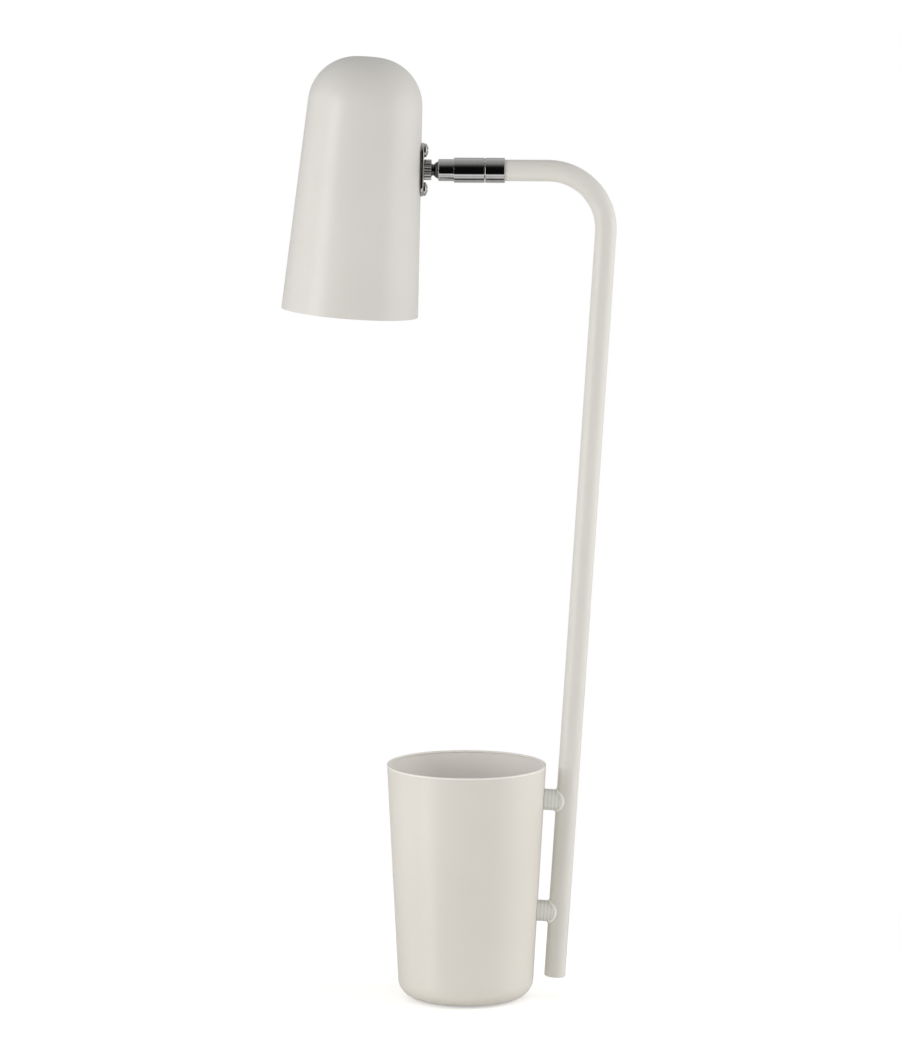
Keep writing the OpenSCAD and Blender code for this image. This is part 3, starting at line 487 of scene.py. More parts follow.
RING_BORE, RING_R, RING_LEN = 4.05, 5.75, 4.2
KNURLS, KNURL_DEPTH, KNURL_FROM, KNURL_FADE = 20, 0.35, 4.9, 0.4
ring = spun(dense(rounded([
    (RING_BORE, 0, 0.1), (RING_R, 0, 0.45), (RING_R, RING_LEN, 0.45), (RING_BORE, RING_LEN, 0.1),
]), 0.25), 240)
ring_a = np.arctan2(ring[..., 1], ring[..., 0])
ring_r = np.hypot(ring[..., 0], ring[..., 1])
groove = ((0.5 + 0.5 * np.cos(KNURLS * ring_a)) ** 4
          * np.clip((ring_r - KNURL_FROM) / KNURL_FADE, 0, 1))
ring[..., :2] *= (1 - KNURL_DEPTH * groove / ring_r)[..., None]
lock_ring = surface("knurled_lock_ring", put(ring, moved(
    ON_STUD, z=PLATE_FRONT + SEAT_GAP)), sharp=50)
fit(lock_ring, "head", "chrome", "lock_ring")

# %% [markdown]
# ## The swivel plate
#
# A stamped strip with round ends holds the ball stud to the shade. Stamping draws its upper
# edge round and leaves the lower one crisp. Its outline is a line segment grown outwards: each
# point is an end of the segment plus the section's reach in the direction of the outline's
# normal, so one section gives straight sides and round ends alike.

# %% Swivel plate
def grown_strip(section, half_length, around=40):
    """Points c + r n for each (r, z) of the section, where n turns once round and c jumps
    from one end of a segment to the other as n passes the sides."""
    a = np.concatenate([np.linspace(-0.5, 0.5, around), np.linspace(0.5, 1.5, around)]) * math.pi
    c = np.repeat([half_length, -half_length], around)
    r, z = section[:, :1], section[:, 1:]
    return np.stack([c + r * np.cos(a), r * np.sin(a), z + 0 * a], -1)


HALF_LONG, HALF_WIDE = 15, 6.5
plate = surface("swivel_plate_stamping", put(grown_strip(rounded([
    (0, 0, 0), (HALF_WIDE, 0, 0.12), (HALF_WIDE, PLATE_T, 0.7), (0, PLATE_T, 0),
], closed=False), HALF_LONG - HALF_WIDE), moved(ON_STUD, z=SEAT_GAP - WALL_REACH)),
    closed=False)
fit(plate, "head", "chrome", "swivel_plate")

# %% [markdown]
# ## Cables
#
# A cable in a tube follows the tube's middle line; the two leads in the shade leave the stud's
# bore, turn up beside the nuts and enter the lampholder's side, twisted loosely round each
# other as a wireman would lay them. A Bezier curve with a bevel makes a cable too, but the
# path is already known from the solids, so the tube is swept in numpy: round each point of
# the path stands a circle, square to the path.

# %% Cable sweep
def unit(vectors):
    """The same directions, each one long."""
    return vectors / np.linalg.norm(vectors, axis=1, keepdims=True)


def even(path, count):
    """Points at equal steps along a path, by straight lines between its points."""
    way = np.concatenate([[0], np.cumsum(np.linalg.norm(np.diff(path, axis=0), axis=1))])
    at = np.linspace(0, way[-1], count)
    return np.stack([np.interp(at, way, path[:, k]) for k in range(path.shape[1])], 1), at


def swept(path, radius, around=24):
    """Circles p + radius (cos a s + sin a u) round each point p of a path, where s is the
    sideways direction, u is square to s and to the path, and both ends close on the path."""
    ahead = unit(np.gradient(path, axis=0))
    side = unit(np.array([0, 1, 0]) - ahead * ahead[:, 1:2])
    up = np.cross(ahead, side)
    a = np.linspace(0, 2 * math.pi, around, endpoint=False)[None, :, None]
    skin = path[:, None] + radius * (np.cos(a) * side[:, None] + np.sin(a) * up[:, None])
    broken = 0.14
    ends = [np.repeat(path[k][None, None], around, 1) for k in (0, -1)]
    rims = [path[k] + (skin[k] - path[k]) * (1 - broken) for k in (0, -1)]
    skin[0] += ahead[0] * radius * broken
    skin[-1] -= ahead[-1] * radius * broken
    return np.concatenate([ends[0], rims[0][None], skin, rims[1][None], ends[1]])


def flat_path(corners, steps=24):
    """Path in the XZ plane through corners (x, z, bend radius)."""
    run = rounded(corners, steps, closed=False)
    return np.stack([run[:, 0], 0 * run[:, 0], run[:, 1]], 1)


# %% The cables in stem, sleeve and shade
BUSH_LEN, LOCKNUT_X, WIRE_GAP, STEM_WIRE_R, SLEEVE_WIRE_R = 10, 2.2, 0.3, 2.8, 1.8
foot_z = STEM_FOOT_Z + (BUSH_LEN + SEAT_GAP) * math.cos(STEM_LEAN)
stem_path, _ = even(flat_path([
    (stem_x(foot_z), foot_z, 0), (stem_x(ARM_Z), ARM_Z, BEND_R), (LOCKNUT_X, ARM_Z, 0)]), 220)
stem_cable = surface("cable_in_stem", swept(stem_path, STEM_WIRE_R), closed=False)
fit(stem_cable, "stand", "black_rubber", "stem_wire")

sleeve_path, _ = even(np.array([
    [BALL_X + BALL_R + WIRE_GAP, 0, ARM_Z], [LOCKNUT_X - WIRE_GAP, 0, ARM_Z]]), 24)
sleeve_cable = surface("cable_in_sleeve", swept(sleeve_path, SLEEVE_WIRE_R), closed=False)
fit(sleeve_cable, "swivel", "black_rubber", "swivel_wire")

# %% The pair of leads: half a twist, that starts past the bend and ends before the holder
LEAD_R, LEAD_SPREAD, LEAD_START, LEAD_BEND, LEAD_TAIL, ENTRY_SHARE = 0.8, 1.0, 4, 5, 1.5, 0.42
TWIST_FROM, TWIST_IN, TWIST_END, TWIST_OUT = 26, 14, 5, 9
TURN_Z = SHANK_END - LEAD_TAIL
RISE = (STRAP_TOP - STRAP_T - HOLDER_CAP_LEN * ENTRY_SHARE - PLATE_H) / math.cos(SHADE_SLOPE)
lead_line, lead_way = even(flat_path([
    (0, LEAD_START, 0), (0, TURN_Z - LEAD_BEND, LEAD_BEND),
    (-RISE, TURN_Z - LEAD_BEND, LEAD_BEND), (-RISE, TURN_Z - 2 * LEAD_BEND - LEAD_TAIL, 0)]), 160)
lay = math.pi * (np.clip((lead_way - TWIST_FROM) / TWIST_IN, 0, 1)
                 * np.clip((lead_way[-1] - TWIST_END - lead_way) / TWIST_OUT, 0, 1))[:, None]
across = np.cross(unit(np.gradient(lead_line, axis=0)), [0, 1, 0])
beside = LEAD_SPREAD * (np.cos(lay) * [0, 1, 0] + np.sin(lay) * across * 0.85)
leads = joined("pair_of_leads", [
    surface("lead", put(swept(lead_line + side * beside, LEAD_R, 16), ON_STUD),
            closed=False)
    for side in (-1, 1)])
fit(leads, "head", "black_rubber", "socket_leads")

# %% [markdown]
# ## The beads at the spacers' ends
#
# Each spacer is coped to fit round the stem, and its edge ends in a thin round bead that
# catches a bright crescent of light; its coat is also painted lighter, a painted highlight on
# that crescent. A torus would do for a flat end, but this edge bends round the tube, so its path
# is worked out: at each angle round the spacer, the height at which the rounded end meets the
# tube's surface, found by halving an interval for all angles at once.

# %% Spacer beads
TIP_Z, TIP_ROUND, CROSSING_R, BEAD_R = 1.2, 3, STEM_R + SEAT_GAP, 0.8
BEAD_OUT, BEAD_SINK = 0.25, [0, 0, 0.3]


def coped_edge(around=160):
    """Closed path where a spacer's rounded end meets the tube that crosses it along X. Below
    its tip's height plus the rounding, the end's radius at height h is
    rounding + sqrt(rounding^2 - (tip + rounding - h)^2), and twice the rounding above."""
    a = np.linspace(0, 2 * math.pi, around, endpoint=False)
    low, high = np.full(around, TIP_Z), np.full(around, CROSSING_R)
    for _ in range(40):
        h = (low + high) / 2
        r = TIP_ROUND + np.sqrt(
            TIP_ROUND ** 2 - np.clip(TIP_Z + TIP_ROUND - h, 0, TIP_ROUND) ** 2)
        beyond = (r * np.sin(a)) ** 2 + h ** 2 > CROSSING_R ** 2
        low, high = np.where(beyond, low, h), np.where(beyond, h, high)
    return np.stack([r * np.cos(a), r * np.sin(a), h], 1), a


def bead(radius, around=20):
    """Closed tube p + radius (cos b s + sin b u) on the coped edge, where s points away from
    the spacer's axis, square to the path, and u is square to both."""
    path, a = coped_edge()
    ahead = unit(np.roll(path, -1, 0) - np.roll(path, 1, 0))
    out = np.stack([np.cos(a), np.sin(a), 0 * a], 1)
    out = unit(out - ahead * (out * ahead).sum(1, keepdims=True))
    up = np.cross(ahead, out)
    b = np.linspace(0, 2 * math.pi, around, endpoint=False)[None, :, None]
    middle = (path + out * BEAD_OUT - BEAD_SINK)[:, None]
    return middle + radius * (np.cos(b) * out[:, None] + np.sin(b) * up[:, None])


beads = joined("spacer_end_beads", [
    surface("bead", put(bead(BEAD_R), on_spacer(z))) for z in SPACER_HEIGHTS])
fit(beads, "stand", "white_paint")

# %% [markdown]
# ## Bulb cap
#
# The bulb's 14 mm screw cap is rolled brass sheet: a round thread that climbs 2.8 mm a turn,
# then a cone and the solder dot that meets the centre contact. Its wall is thin, so the inside
# follows the outside, and the whole section closes at the tip.

# %% Bulb cap
CORE_SINK, CONTACT_T, CONTACT_GAP, CAP_LEN = 4, 0.8, 0.5, 19
NECK_Z = STRAP_TOP - STRAP_T - HOLDER_CAP_LEN - CORE_SINK - CONTACT_T - CONTACT_GAP - CAP_LEN
CAP_R, THREAD_FROM, THREAD_TO, CLIMB, WAVE, WAVE_SINK = 6.75, 1.2, 15.2, 2.8, 0.38, 0.13
RUN_IN, INSIDE_R = 1.5, 5.5
cap_outside = dense(rounded([
    (6.5, 0, 0.2), (CAP_R, THREAD_FROM, 0), (CAP_R, THREAD_TO, 0.4), (3.4, 18, 0.5),
    (2.4, 18.1, 0), (2.3, 19.2, 0.6), (0, 19.4, 0),
], closed=False), 0.22, closed=False)
cap_inside = np.array([[0, 15], [4.9, 15], [5.0, 14.6], [5.0, 0]])
cap = spun(np.concatenate([cap_outside, cap_inside]), 96)
cap_a = np.arctan2(cap[..., 1], cap[..., 0])
cap_r = np.hypot(cap[..., 0], cap[..., 1])
cap_z = cap[..., 2]
winding = (np.clip((cap_z - THREAD_FROM) / RUN_IN, 0, 1)
           * np.clip((THREAD_TO + 0.2 - cap_z) / RUN_IN, 0, 1))
wave = WAVE * np.cos(2 * math.pi * cap_z / CLIMB - cap_a) - WAVE_SINK
share = np.where(cap_r > INSIDE_R, 1 + wave * winding / np.maximum(cap_r, 1), 1)
cap[..., :2] *= share[..., None]
bulb_cap = surface("rolled_bulb_cap", put(cap, moved(IN_SHADE, z=NECK_Z)))
fit(bulb_cap, "head", "brass", "bulb_cap")

# %% [markdown]
# ## Felt and rubber
#
# A disc of felt lies on the ballast, so that pens land softly. It is cut from needled wool
# sheet: its edge is slightly round and its surface never quite flat. Under the cup sits a
# moulded rubber foot with three grip rings. Both are turned sections, and the felt's points
# are then lifted by a few soft waves, so that no two places on it are alike.

# %% Felt disc and rubber foot
FELT_R, FELT_T, FELT_LOW, NAP = 37.318, 1.5, 15.85, 0.045
felt = spun(dense(rounded([
    (0, 0, 0), (FELT_R, 0, 0.5), (FELT_R, FELT_T, 0.6), (0, FELT_T, 0)], closed=False), 0.8,
    closed=False), 180)
fx, fy = felt[..., 0], felt[..., 1]
nap = (np.sin(fx * 0.9 + 1.3 * np.sin(fy * 0.35)) * np.sin(fy * 0.8 + 1.1 * np.sin(fx * 0.4))
       + 0.6 * np.sin(fx * 2.3 + fy * 1.1) * np.sin(fy * 2.7 - fx * 0.6))
felt[..., 2] -= np.where(felt[..., 2] > FELT_T / 2, 0.05 + NAP * nap, 0)
felt_disc = surface("felt_disc", put(felt, moved(TABLE, z=FELT_LOW)), closed=False)
fit(felt_disc, "stand", "felt", "cup_liner")

FOOT_R, GROOVE, SOFT = 24, 0.3, 0.15
grip = [(0, GROOVE, 0)]
for inner, outer in ((9, 12), (14, 17)):
    grip += [(inner, GROOVE, SOFT), (inner + 0.2, 0, SOFT), (outer, 0, SOFT),
             (outer + 0.2, GROOVE, SOFT)]
grip += [(19, GROOVE, SOFT), (19.2, 0, SOFT), (FOOT_R, 0, 0.25), (FOOT_R, FOOT_T, 0.1),
         (0, FOOT_T, 0)]
foot = surface("rubber_foot", spun(rounded(grip, 3, closed=False), 144), closed=False)
fit(foot, "stand", "black_rubber", "foot_pad")

# %% [markdown]
# ## Colours and nodes
#
# A colour picked from a photograph or a paint card is written as an sRGB hex value. Blender
# computes in linear light, so one function turns it. One more adds a node: its settings are
# named, and its inputs are given either a plain value or another node's output. No real skin is
# the same all over, so every finish has three soft noises: one drifts between two near tones,
# one between two values of roughness, and the finest is the grain, which tilts the light as
# small bumps do. The blots of each noise have a real size in millimetres.

# %% Colour and node helpers
MM, MICRON = 0.001, 1e-6


def linear(hex_colour):
    """sRGB hex to linear RGBA: c / 12.92 for dark values, else ((c + 0.055) / 1.055) ^ 2.4."""
    c = np.array([int(hex_colour[k:k + 2], 16) for k in (1, 3, 5)]) / 255
    c = np.where(c <= 0.04045, c / 12.92, ((c + 0.055) / 1.055) ** 2.4)
    return (*c.tolist(), 1.0)


def add_node(tree, kind, inputs=None, **settings):
    """Adds a node with its settings. Each input takes a plain value or another's output."""
    new = tree.nodes.new(kind)
    for key, value in settings.items():
        setattr(new, key, value)
    for key, value in (inputs or {}).items():
        if isinstance(value, bpy.types.NodeSocket):
            tree.links.new(value, new.inputs[key])
        else:
            new.inputs[key].default_value = value
    return new


def start_finish(name):
    """An empty node material, its tree and the object coordinates."""
    material = bpy.data.materials.new(name)
    material.use_nodes = True
    tree = material.node_tree
    tree.nodes.clear()
    return material, tree, add_node(tree, "ShaderNodeTexCoord").outputs["Object"]


def end_finish(material, inputs):
    """Gives the material its shader with these inputs, and its output."""
    tree = material.node_tree
    shader = add_node(tree, "ShaderNodeBsdfPrincipled", inputs).outputs["BSDF"]
    add_node(tree, "ShaderNodeOutputMaterial", {"Surface": shader}, is_active_output=True)
    print(f"{material.name}: {len(tree.nodes)} nodes")
    return material


def blots(size, detail=2.0, rough=0.5, twist=0.0):
    """Noise settings for blots about size millimetres across, on coordinates in metres."""
    return {"Scale": 1000 / size, "Detail": detail, "Roughness": rough, "Distortion": twist}


def uneven_skin(tree, spot, tones, tone_blots, rough, rough_blots, grain, microns):
    """Shader inputs from three noises: a colour that runs from the first tone to the second,
    a roughness that runs between two values, and a bump as high as microns thousandths of a
    millimetre. The runs lie in the middle of the noise, where most of it is."""
    tone, patch, bumps = (
        add_node(tree, "ShaderNodeTexNoise", {"Vector": spot, **settings}).outputs["Fac"]
        for settings in (tone_blots, rough_blots, grain))
    ramp = add_node(tree, "ShaderNodeValToRGB", {"Fac": tone})
    for stop, place, colour in zip(ramp.color_ramp.elements, (0.35, 0.65), tones):
        stop.position = place
        stop.color = linear(colour)
    roughness = add_node(tree, "ShaderNodeMapRange", {
        "Value": patch, "From Min": 0.3, "From Max": 0.7,
        "To Min": rough[0], "To Max": rough[1]}).outputs["Result"]
    normal = add_node(tree, "ShaderNodeBump", {
        "Height": bumps, "Distance": microns * MICRON}).outputs["Normal"]
    return {"Base Color": ramp.outputs["Color"], "Roughness": roughness, "Normal": normal}


# %% [markdown]
# ## Powder coat
#
# Cup, stem, spacers and shade are steel, sprayed with warm white polyester powder and baked.
# The powder flows out to a satin skin with a very fine orange peel about a millimetre across,
# and its thickness varies slowly, which shows as the faintest drift of tone. The peel is drawn
# a little coarser than it is, so that it shows in the render. The cup's inside is painted lighter,
# painted light, and its lip and the spacers' beads are painted lighter too, painted highlights.
# The shade's coat is a slightly darker copy, painted shade. Over the spacers' turned steel the
# tool's lines show as relief, and they are also painted darker, painted shade on the lines. A
# coordinate tells the shader where it is: inside the cup is where a point lies nearer the axis
# than the outer cone does.

# %% Where light is painted in the cup: its inside and its lip
# Above this height the cup's lip is painted lighter, a painted highlight along its edge.
PAINTED_LIP_HIGHLIGHT_LOW = FOOT_T + CUP_H - 0.9


def where_light_is_painted(tree, spot):
    """Factor of painted light: 1 above the lip's band, a painted highlight on the lip, and over
    the felt wherever the point lies 0.1 to 0.3 mm nearer the axis than the outer cone does,
    painted light inside the cup: cup_r(z) - sqrt(x^2 + y^2)."""
    parts = add_node(tree, "ShaderNodeSeparateXYZ", {"Vector": spot})
    x, y, z = (parts.outputs[axis] for axis in "XYZ")
    flat = add_node(tree, "ShaderNodeCombineXYZ", {"X": x, "Y": y}).outputs["Vector"]
    reach = add_node(tree, "ShaderNodeVectorMath", {0: flat}, operation="LENGTH").outputs["Value"]
    wall = add_node(tree, "ShaderNodeMath", {0: z, 1: CUP_SLOPE, 2: cup_r(0) * MM},
                    operation="MULTIPLY_ADD").outputs[0]
    depth = add_node(tree, "ShaderNodeMath", {0: wall, 1: reach}, operation="SUBTRACT").outputs[0]
    behind = add_node(tree, "ShaderNodeMapRange", {
        "Value": depth, "From Min": 0.1 * MM, "From Max": 0.3 * MM}).outputs["Result"]
    above = add_node(tree, "ShaderNodeMath", {0: z, 1: FELT_LOW * MM},
                     operation="GREATER_THAN").outputs[0]
    within = add_node(tree, "ShaderNodeMath", {0: behind, 1: above},
                      operation="MULTIPLY").outputs[0]
    lip = add_node(tree, "ShaderNodeMath", {0: z, 1: PAINTED_LIP_HIGHLIGHT_LOW * MM},
                   operation="GREATER_THAN").outputs[0]
    return add_node(tree, "ShaderNodeMath", {0: within, 1: lip}, operation="MAXIMUM").outputs[0]


print("lining from", FELT_LOW, "mm up, lip from", round(PAINTED_LIP_HIGHLIGHT_LOW, 1), "mm up")

# %% Powder coat
TURNING_PITCH, WAVE_PER_METRE, TURNING_MICRONS = 2.0, 314, 45


def powder_coat(name, light, shade_tone, turned=False, painted_light_colour=None):
    """Satin powder with drifting tone and orange peel. Where a light colour is given, it is
    painted inside the cup and on its lip as painted light, and where turned is true, the lines of
    turning show through as relief, square to a spacer, and are painted darker as painted shade."""
    material, tree, spot = start_finish(name)
    coat = uneven_skin(tree, spot, (shade_tone, light), blots(55, 1.0), (0.28, 0.33), blots(6),
                       blots(1.4, 3.0), 9)
    if painted_light_colour:
        # Painted light: the cup's inside and its lip take the lighter colour.
        coat["Base Color"] = add_node(tree, "ShaderNodeMix", {
            "Factor": where_light_is_painted(tree, spot), 6: coat["Base Color"], 7: linear(painted_light_colour)},
            data_type="RGBA").outputs[2]
    if turned:
        axis = add_node(tree, "ShaderNodeMapping", {
            "Vector": spot, "Rotation": (0, -STEM_LEAN, 0)}).outputs["Vector"]
        lines = add_node(tree, "ShaderNodeTexWave", {
            "Vector": axis, "Scale": WAVE_PER_METRE / TURNING_PITCH, "Distortion": 0.5,
            "Detail": 1.0}, bands_direction="X").outputs["Fac"]
        coat["Normal"] = add_node(tree, "ShaderNodeBump", {
            "Height": lines, "Distance": TURNING_MICRONS * MICRON,
            "Normal": coat["Normal"]}).outputs["Normal"]
        # Painted shade: the turning lines are painted darker along their relief, as well as
        # raised.
        coat["Base Color"] = add_node(tree, "ShaderNodeMix", {
            "Factor": lines, 6: coat["Base Color"], 7: linear("#DFDFD8")},
            data_type="RGBA").outputs[2]
    return end_finish(material, {**coat, "IOR": 1.5, "Specular IOR Level": 0.42})


white_coat = powder_coat("warm_white_powder_coat", "#E2DFD8", "#DFDDD6")
# Spacers: turning lines as relief, and painted darker as painted shade.
turned_coat = powder_coat("warm_white_powder_coat_over_turned_steel", "#EEEEE8", "#EBEBE5", True)
# Beads: a lighter copy of the coat, a painted highlight on the spacers' crescents.
bead_painted_highlight_coat = powder_coat("white_powder_coat_with_painted_highlight_on_bead", "#F8F7F3", "#F5F4F0")
# Cup: painted light inside, and a painted highlight on the lip.
cup_coat = powder_coat("warm_white_powder_coat_with_painted_light_in_cup", "#E4DFD6", "#E1DCD3",
                       painted_light_colour="#F5F1EB")
# Shade: a slightly darker, more neutral copy of the same coat, painted shade.
shade_coat = powder_coat("warm_white_powder_coat_with_painted_shade", "#DFDCD6", "#DCD9D3")

# %% [markdown]
# ## Metals
#
# The sleeve, the lock ring, the plate and its screws are polished and chromed: a cool mirror
# with the finest trace of buffing. The ball and its neck are given a dark grey metal colour, a
# painted reflection of the dark room, so they stay dark between sleeve and plate. The other
# screws, the nuts and the strap are zinc-plated steel, duller and slightly cloudy. The ballast is
# rough grey iron, and the contacts and the bulb's cap are bare brass. A metal takes its colour
# from what it reflects, so each keeps metallic 1 and differs in roughness and in the pattern of
# that roughness.

# %% Metals
def metal(name, light, dark, rough, grain, microns, cloud=4.0):
    """Bare or plated metal: clouds of tone and roughness cloud millimetres wide, and a relief
    of the given grain in millimetres and height in thousandths."""
    material, tree, spot = start_finish(name)
    return end_finish(material, {"Metallic": 1.0, **uneven_skin(
        tree, spot, (dark, light), blots(cloud), rough, blots(cloud / 2), blots(grain), microns)})


bright_chrome = metal("polished_chrome_plate", "#D8D7D5", "#D2D1CF", (0.03, 0.05), 1.2, 0.6)
# Ball and neck: a dark base colour, a painted reflection of the dark room.
steel_darkened_as_painted_reflection = metal("steel_darkened_as_painted_reflection", "#6C6C6C", "#585858", (0.10, 0.2), 0.8, 4)
zinc_plate = metal("zinc_plated_steel", "#B4B6B8", "#9DA0A4", (0.26, 0.38), 0.5, 5)
grey_iron = metal("rough_cast_iron", "#66686B", "#4C4E51", (0.52, 0.72), 0.9, 90, 3.0)
rolled_brass = metal("bare_rolled_brass", "#CDA95A", "#B9924A", (0.2, 0.34), 0.6, 4, 5.0)

# %% [markdown]
# ## Rubber, felt, plastic, ceramic and glass
#
# The cable sheaths and the foot are black rubber, matte with a dusty bloom. Felt is matted
# wool: short fibres in every direction, soft light at grazing angles. The lampholder is
# moulded black plastic with a fine spark-eroded grain, its core is glazed ceramic, and the
# bulb is opal glass, which lets some light through and scatters the rest.

# %% Soft and moulded finishes
def moulded(name, light, dark, rough, grain, microns, extra=None):
    """Moulded or glazed skin: its roughness keeps step with the grain, and extra holds shader
    inputs where the real one has a bloom, a glaze or lets light through."""
    material, tree, spot = start_finish(name)
    skin = uneven_skin(tree, spot, (dark, light), blots(8), rough, blots(grain * 2),
                       blots(grain, 3.0, 0.6), microns)
    return end_finish(material, {**skin, **(extra or {})})


black_rubber = moulded("black_cable_rubber", "#303032", "#262627", (0.62, 0.78), 0.5, 12,
                       {"Sheen Weight": 0.12, "Sheen Roughness": 0.5})
black_plastic = moulded("black_moulded_plastic", "#2A2A2E", "#222226", (0.38, 0.5), 0.4, 10)
glazed_ceramic = moulded("glazed_ceramic", "#F0ECE2", "#E9E4D8", (0.14, 0.2), 2.5, 6,
                         {"Coat Weight": 0.5, "Coat Roughness": 0.06})
opal_glass = moulded("opal_glass", "#F8F6F1", "#F3F0E9", (0.22, 0.28), 3.0, 3,
                     {"Transmission Weight": 0.4, "IOR": 1.5})


def wool_felt(name, light, dark):
    """Matted wool: fibres about a millimetre long, twisted, raised by a quarter of that, and
    evenly matte. One noise gives tone and relief, so raised fibres are painted lighter, a painted
    highlight on their tops."""
    material, tree, spot = start_finish(name)
    fibre = blots(0.9, 5.0, 0.75, 2.5)
    # Painted highlight: the tone follows the relief, so the fibres' tops are lighter.
    wool = uneven_skin(tree, spot, (dark, light), fibre, (0.95, 0.95), fibre, fibre, 260)
    return end_finish(material, {
        **wool, "Sheen Weight": 0.35, "Sheen Roughness": 0.4, "Specular IOR Level": 0.15})


grey_felt = wool_felt("grey_wool_felt", "#4C4D50", "#303134")

# %% Each slot gets its finish
FINISHES = {
    "white_paint": white_coat, "chrome": bright_chrome, "plain_steel": zinc_plate,
    "iron": grey_iron, "brass": rolled_brass, "black_rubber": black_rubber,
    "felt": grey_felt, "black_plastic": black_plastic, "ceramic": glazed_ceramic,
    "frosted_glass": opal_glass,
}
OWN_FINISHES = {
    "lower_spacer": turned_coat, "upper_spacer": turned_coat, "cup": cup_coat,
    "shade": shade_coat, "ball_neck_and_shank": steel_darkened_as_painted_reflection, "spacer_end_beads": bead_painted_highlight_coat,
}
for row in frame["record"]["subparts"]:
    name, slot = row["node"], row["material_slot"]
    node_mesh = frame["nodes"][name].data
    node_mesh.materials.clear()
    node_mesh.materials.append(OWN_FINISHES.get(name, FINISHES[slot]))
for piece in new_pieces:
    piece.data.materials.append(OWN_FINISHES.get(piece.name, FINISHES[piece["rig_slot"]]))

# %% [markdown]
# ## The camera
#
# A photograph of this kind is taken from far away with a long lens, so upright edges stay
# nearly parallel. The camera stands about 3.2 m in front of the lamp, a little above it, looks
# down by 8 degrees and is turned by one. Its place is written in the camera's own upright
# frame and then turned about Z.

# %% Camera
YAW, PITCH, ROLL = -0.016749, 0.140278, 0.0036
STAND_AT = (-9.845, -3175.99, 716.725)
SENSOR_W, FOCAL_PIXELS, PICTURE_H = 36, 5702.15, 1059
right = np.array([1, 0, 0])
ahead = np.array([0, math.cos(PITCH), -math.sin(PITCH)])
up = np.array([0, math.sin(PITCH), math.cos(PITCH)])
right, up = (math.cos(ROLL) * right + math.sin(ROLL) * up,
             math.cos(ROLL) * up - math.sin(ROLL) * right)
spin = np.array([[math.cos(-YAW), -math.sin(-YAW), 0], [math.sin(-YAW), math.cos(-YAW), 0],
                 [0, 0, 1]])
pose = np.eye(4)
pose[:3, :3] = spin @ np.stack([right, up, -ahead], 1)
pose[:3, 3] = spin @ np.array(STAND_AT) / 1000
camera_data = bpy.data.cameras.new("camera")
camera_data.sensor_width = SENSOR_W
camera_data.lens = SENSOR_W * FOCAL_PIXELS / PICTURE_H
camera_data.clip_end = 30
camera = linked("camera", camera_data)
camera.matrix_world = Matrix(pose.tolist())
bpy.context.scene.camera = camera
print("camera at", np.round(pose[:3, 3], 3), "lens", round(camera_data.lens, 1))

# %% [markdown]
# ## The studio
#
# A white product is lit by large soft lamps at its sides while the room behind the camera
# stays dark, so its middle is a shade darker than its flanks, and chrome shows a dark band.
# Two tall area lamps stand left and right, a low one lights the cup from the left, a weak one
# hangs high in front, and the world adds an even light. The world shows white to the camera,
# and to mirrors it shows the studio: a grey ceiling, the dark room, the bright table edge and
# the floor, as bands round the X axis. Each band has an angle and a grey: 0 degrees is towards
# the camera, 90 is up, 180 is behind the lamp and -90 is down.

# %% Lamps
def soft_lamp(name, place, aim, size, power, mirrored=False):
    """Area lamp at place, facing the point aim: its -Z axis runs along aim - place. Gloss
    shows it only where mirrored is true, because the world holds the rest of the studio."""
    data = bpy.data.lights.new(name, "AREA")
    data.shape, data.size, data.size_y = "RECTANGLE", size[0], size[1]
    data.energy = power
    lamp = linked(name, data)
    lamp.location = place
    way = Vector(aim) - Vector(place)
    lamp.rotation_euler = way.to_track_quat("-Z", "Y").to_euler()
    lamp.visible_glossy = mirrored
    lamp.visible_camera = False
    print(f"{name}: {power} W")


soft_lamp("left_softbox", (-1.0, -0.62, 0.28), (0, 0, 0.18), (0.45, 1.3), 5.0, True)
soft_lamp("left_front_softbox", (-0.85, -0.85, 0.14), (0, 0, 0.07), (0.7, 0.5), 2.4)
soft_lamp("right_softbox", (1.1, -0.10, 0.28), (0, 0, 0.18), (0.9, 1.3), 8.5)
soft_lamp("high_front_softbox", (0.0, -0.9, 1.5), (0, 0, 0.15), (1.0, 1.0), 0.7)

# %% World
WHITE = (1, 1, 1, 1)
EVEN_LIGHT, STUDIO_LIGHT, FLANK_GREY = 0.53, 1.25, (0.75, 0.75, 0.75, 1)
FLANK_FROM, FLANK_TO, SCREEN_GAMMA = 0.82, 0.93, 2.2
world = bpy.data.worlds.new("studio")
bpy.context.scene.world = world
world.use_nodes = True
tree = world.node_tree
tree.nodes.clear()
direction = add_node(tree, "ShaderNodeTexCoord").outputs["Generated"]
parts = add_node(tree, "ShaderNodeSeparateXYZ", {"Vector": direction})
towards = add_node(tree, "ShaderNodeMath", {0: parts.outputs["Y"], 1: -1.0},
                   operation="MULTIPLY").outputs[0]
angle = add_node(tree, "ShaderNodeMath", {0: parts.outputs["Z"], 1: towards},
                 operation="ARCTAN2").outputs[0]
turn = add_node(tree, "ShaderNodeMapRange", {
    "Value": angle, "From Min": -math.pi, "From Max": math.pi}).outputs["Result"]
bands = add_node(tree, "ShaderNodeValToRGB", {"Fac": turn})
BANDS = [(-180, 0.64), (-133, 0.64), (-95, 0.60), (-81, 0.42), (-74, 0.62), (-68, 0.83),
         (-57, 0.63), (-46, 0.86), (-36, 0.70), (-31, 0.07), (25, 0.08), (31, 0.10),
         (40, 0.17), (50, 0.31), (60, 0.43), (71, 0.52), (94, 0.59), (124, 0.70),
         (145, 0.64), (180, 0.64)]
while len(bands.color_ramp.elements) < len(BANDS):
    bands.color_ramp.elements.new(0.5)
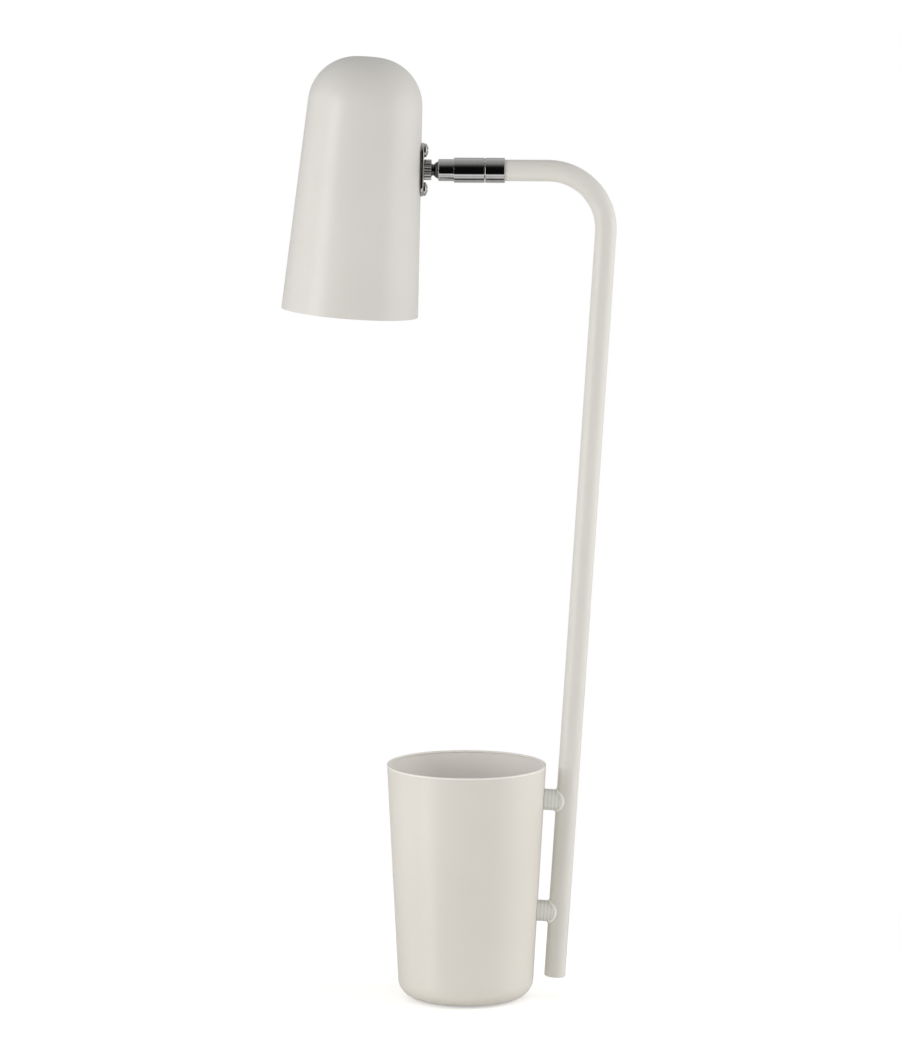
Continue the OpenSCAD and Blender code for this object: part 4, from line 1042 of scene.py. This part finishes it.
for element, (degrees, grey) in zip(bands.color_ramp.elements, BANDS):
    element.position = (degrees + 180) / 360
    element.color = (grey ** SCREEN_GAMMA,) * 3 + (1,)
sideways = add_node(tree, "ShaderNodeMath", {0: parts.outputs["X"]},
                    operation="ABSOLUTE").outputs[0]
flank = add_node(tree, "ShaderNodeMapRange", {
    "Value": sideways, "From Min": FLANK_FROM, "From Max": FLANK_TO}).outputs["Result"]
mirrored = add_node(tree, "ShaderNodeMix", {
    "Factor": flank, 6: bands.outputs["Color"], 7: FLANK_GREY},
    data_type="RGBA").outputs[2]
path = add_node(tree, "ShaderNodeLightPath")
sees_studio = add_node(tree, "ShaderNodeMath", {
    0: path.outputs["Is Glossy Ray"], 1: path.outputs["Is Transmission Ray"]},
    operation="MAXIMUM").outputs[0]
even_light = add_node(tree, "ShaderNodeBackground", {
    "Color": WHITE, "Strength": EVEN_LIGHT}).outputs["Background"]
studio = add_node(tree, "ShaderNodeBackground", {
    "Color": mirrored, "Strength": STUDIO_LIGHT}).outputs["Background"]
white = add_node(tree, "ShaderNodeBackground", {
    "Color": WHITE, "Strength": 1.0}).outputs["Background"]
lit = add_node(tree, "ShaderNodeMixShader", {0: sees_studio, 1: even_light, 2: studio}).outputs[0]
seen = add_node(tree, "ShaderNodeMixShader", {
    0: path.outputs["Is Camera Ray"], 1: lit, 2: white}).outputs[0]
add_node(tree, "ShaderNodeOutputWorld", {"Surface": seen})
print("world with", len(BANDS), "bands")

# %% [markdown]
# ## The floor
#
# The lamp stands on a plain pale table that runs off to white. Near the cup the floor is
# ordinary diffuse white and takes the soft shadow; further out it turns to plain white for
# the camera. It is a flat ring of faces, larger than the view, and it is stage, not lamp. From
# below the camera sees through it, so that the rubber foot can be looked at.

# %% Floor
FADE_FROM, FADE_TO, CAMERA_LIFT = 0.08, 0.36, 0.4
floor_rings = np.array([[0.0, 0], [200, 0], [400, 0], [900, 0], [2500, 0]])
floor = surface("studio_floor", spun(floor_rings, 96), closed=False)
if floor.data.polygons[0].normal.z < 0:
    floor.data.flip_normals()
floor.visible_glossy = False
material, tree, spot = start_finish("pale_studio_floor")
away = add_node(tree, "ShaderNodeVectorMath", {0: spot}, operation="LENGTH").outputs["Value"]
fade = add_node(tree, "ShaderNodeMapRange", {
    "Value": away, "From Min": FADE_FROM, "From Max": FADE_TO},
    interpolation_type="SMOOTHSTEP").outputs["Result"]
to_camera = add_node(tree, "ShaderNodeLightPath").outputs["Is Camera Ray"]
shown = add_node(tree, "ShaderNodeMath", {0: to_camera, 1: fade}, operation="MULTIPLY").outputs[0]
plain = add_node(tree, "ShaderNodeBsdfDiffuse", {"Color": linear("#FAFAF8")}).outputs["BSDF"]
lifted = add_node(tree, "ShaderNodeMath", {0: to_camera, 1: CAMERA_LIFT},
                  operation="MULTIPLY").outputs[0]
lift = add_node(tree, "ShaderNodeEmission", {
    "Color": WHITE, "Strength": lifted}).outputs["Emission"]
near = add_node(tree, "ShaderNodeAddShader", {0: plain, 1: lift}).outputs["Shader"]
blank = add_node(tree, "ShaderNodeEmission", {
    "Color": WHITE, "Strength": 1.0}).outputs["Emission"]
table = add_node(tree, "ShaderNodeMixShader", {0: shown, 1: near, 2: blank}).outputs[0]
back_face = add_node(tree, "ShaderNodeNewGeometry").outputs["Backfacing"]
from_below = add_node(tree, "ShaderNodeMath", {0: to_camera, 1: back_face},
                      operation="MULTIPLY").outputs[0]
clear = add_node(tree, "ShaderNodeBsdfTransparent").outputs["BSDF"]
seen = add_node(tree, "ShaderNodeMixShader", {0: from_below, 1: table, 2: clear}).outputs[0]
add_node(tree, "ShaderNodeOutputMaterial", {"Surface": seen})
floor.data.materials.append(material)
print("floor", len(floor.data.polygons), "faces")

# %% [markdown]
# ## Finish
#
# The view transform stays plain, so that a colour renders as it is written.

# %% View settings and the end
bpy.context.scene.view_settings.view_transform = "Standard"
bpy.context.view_layer.update()
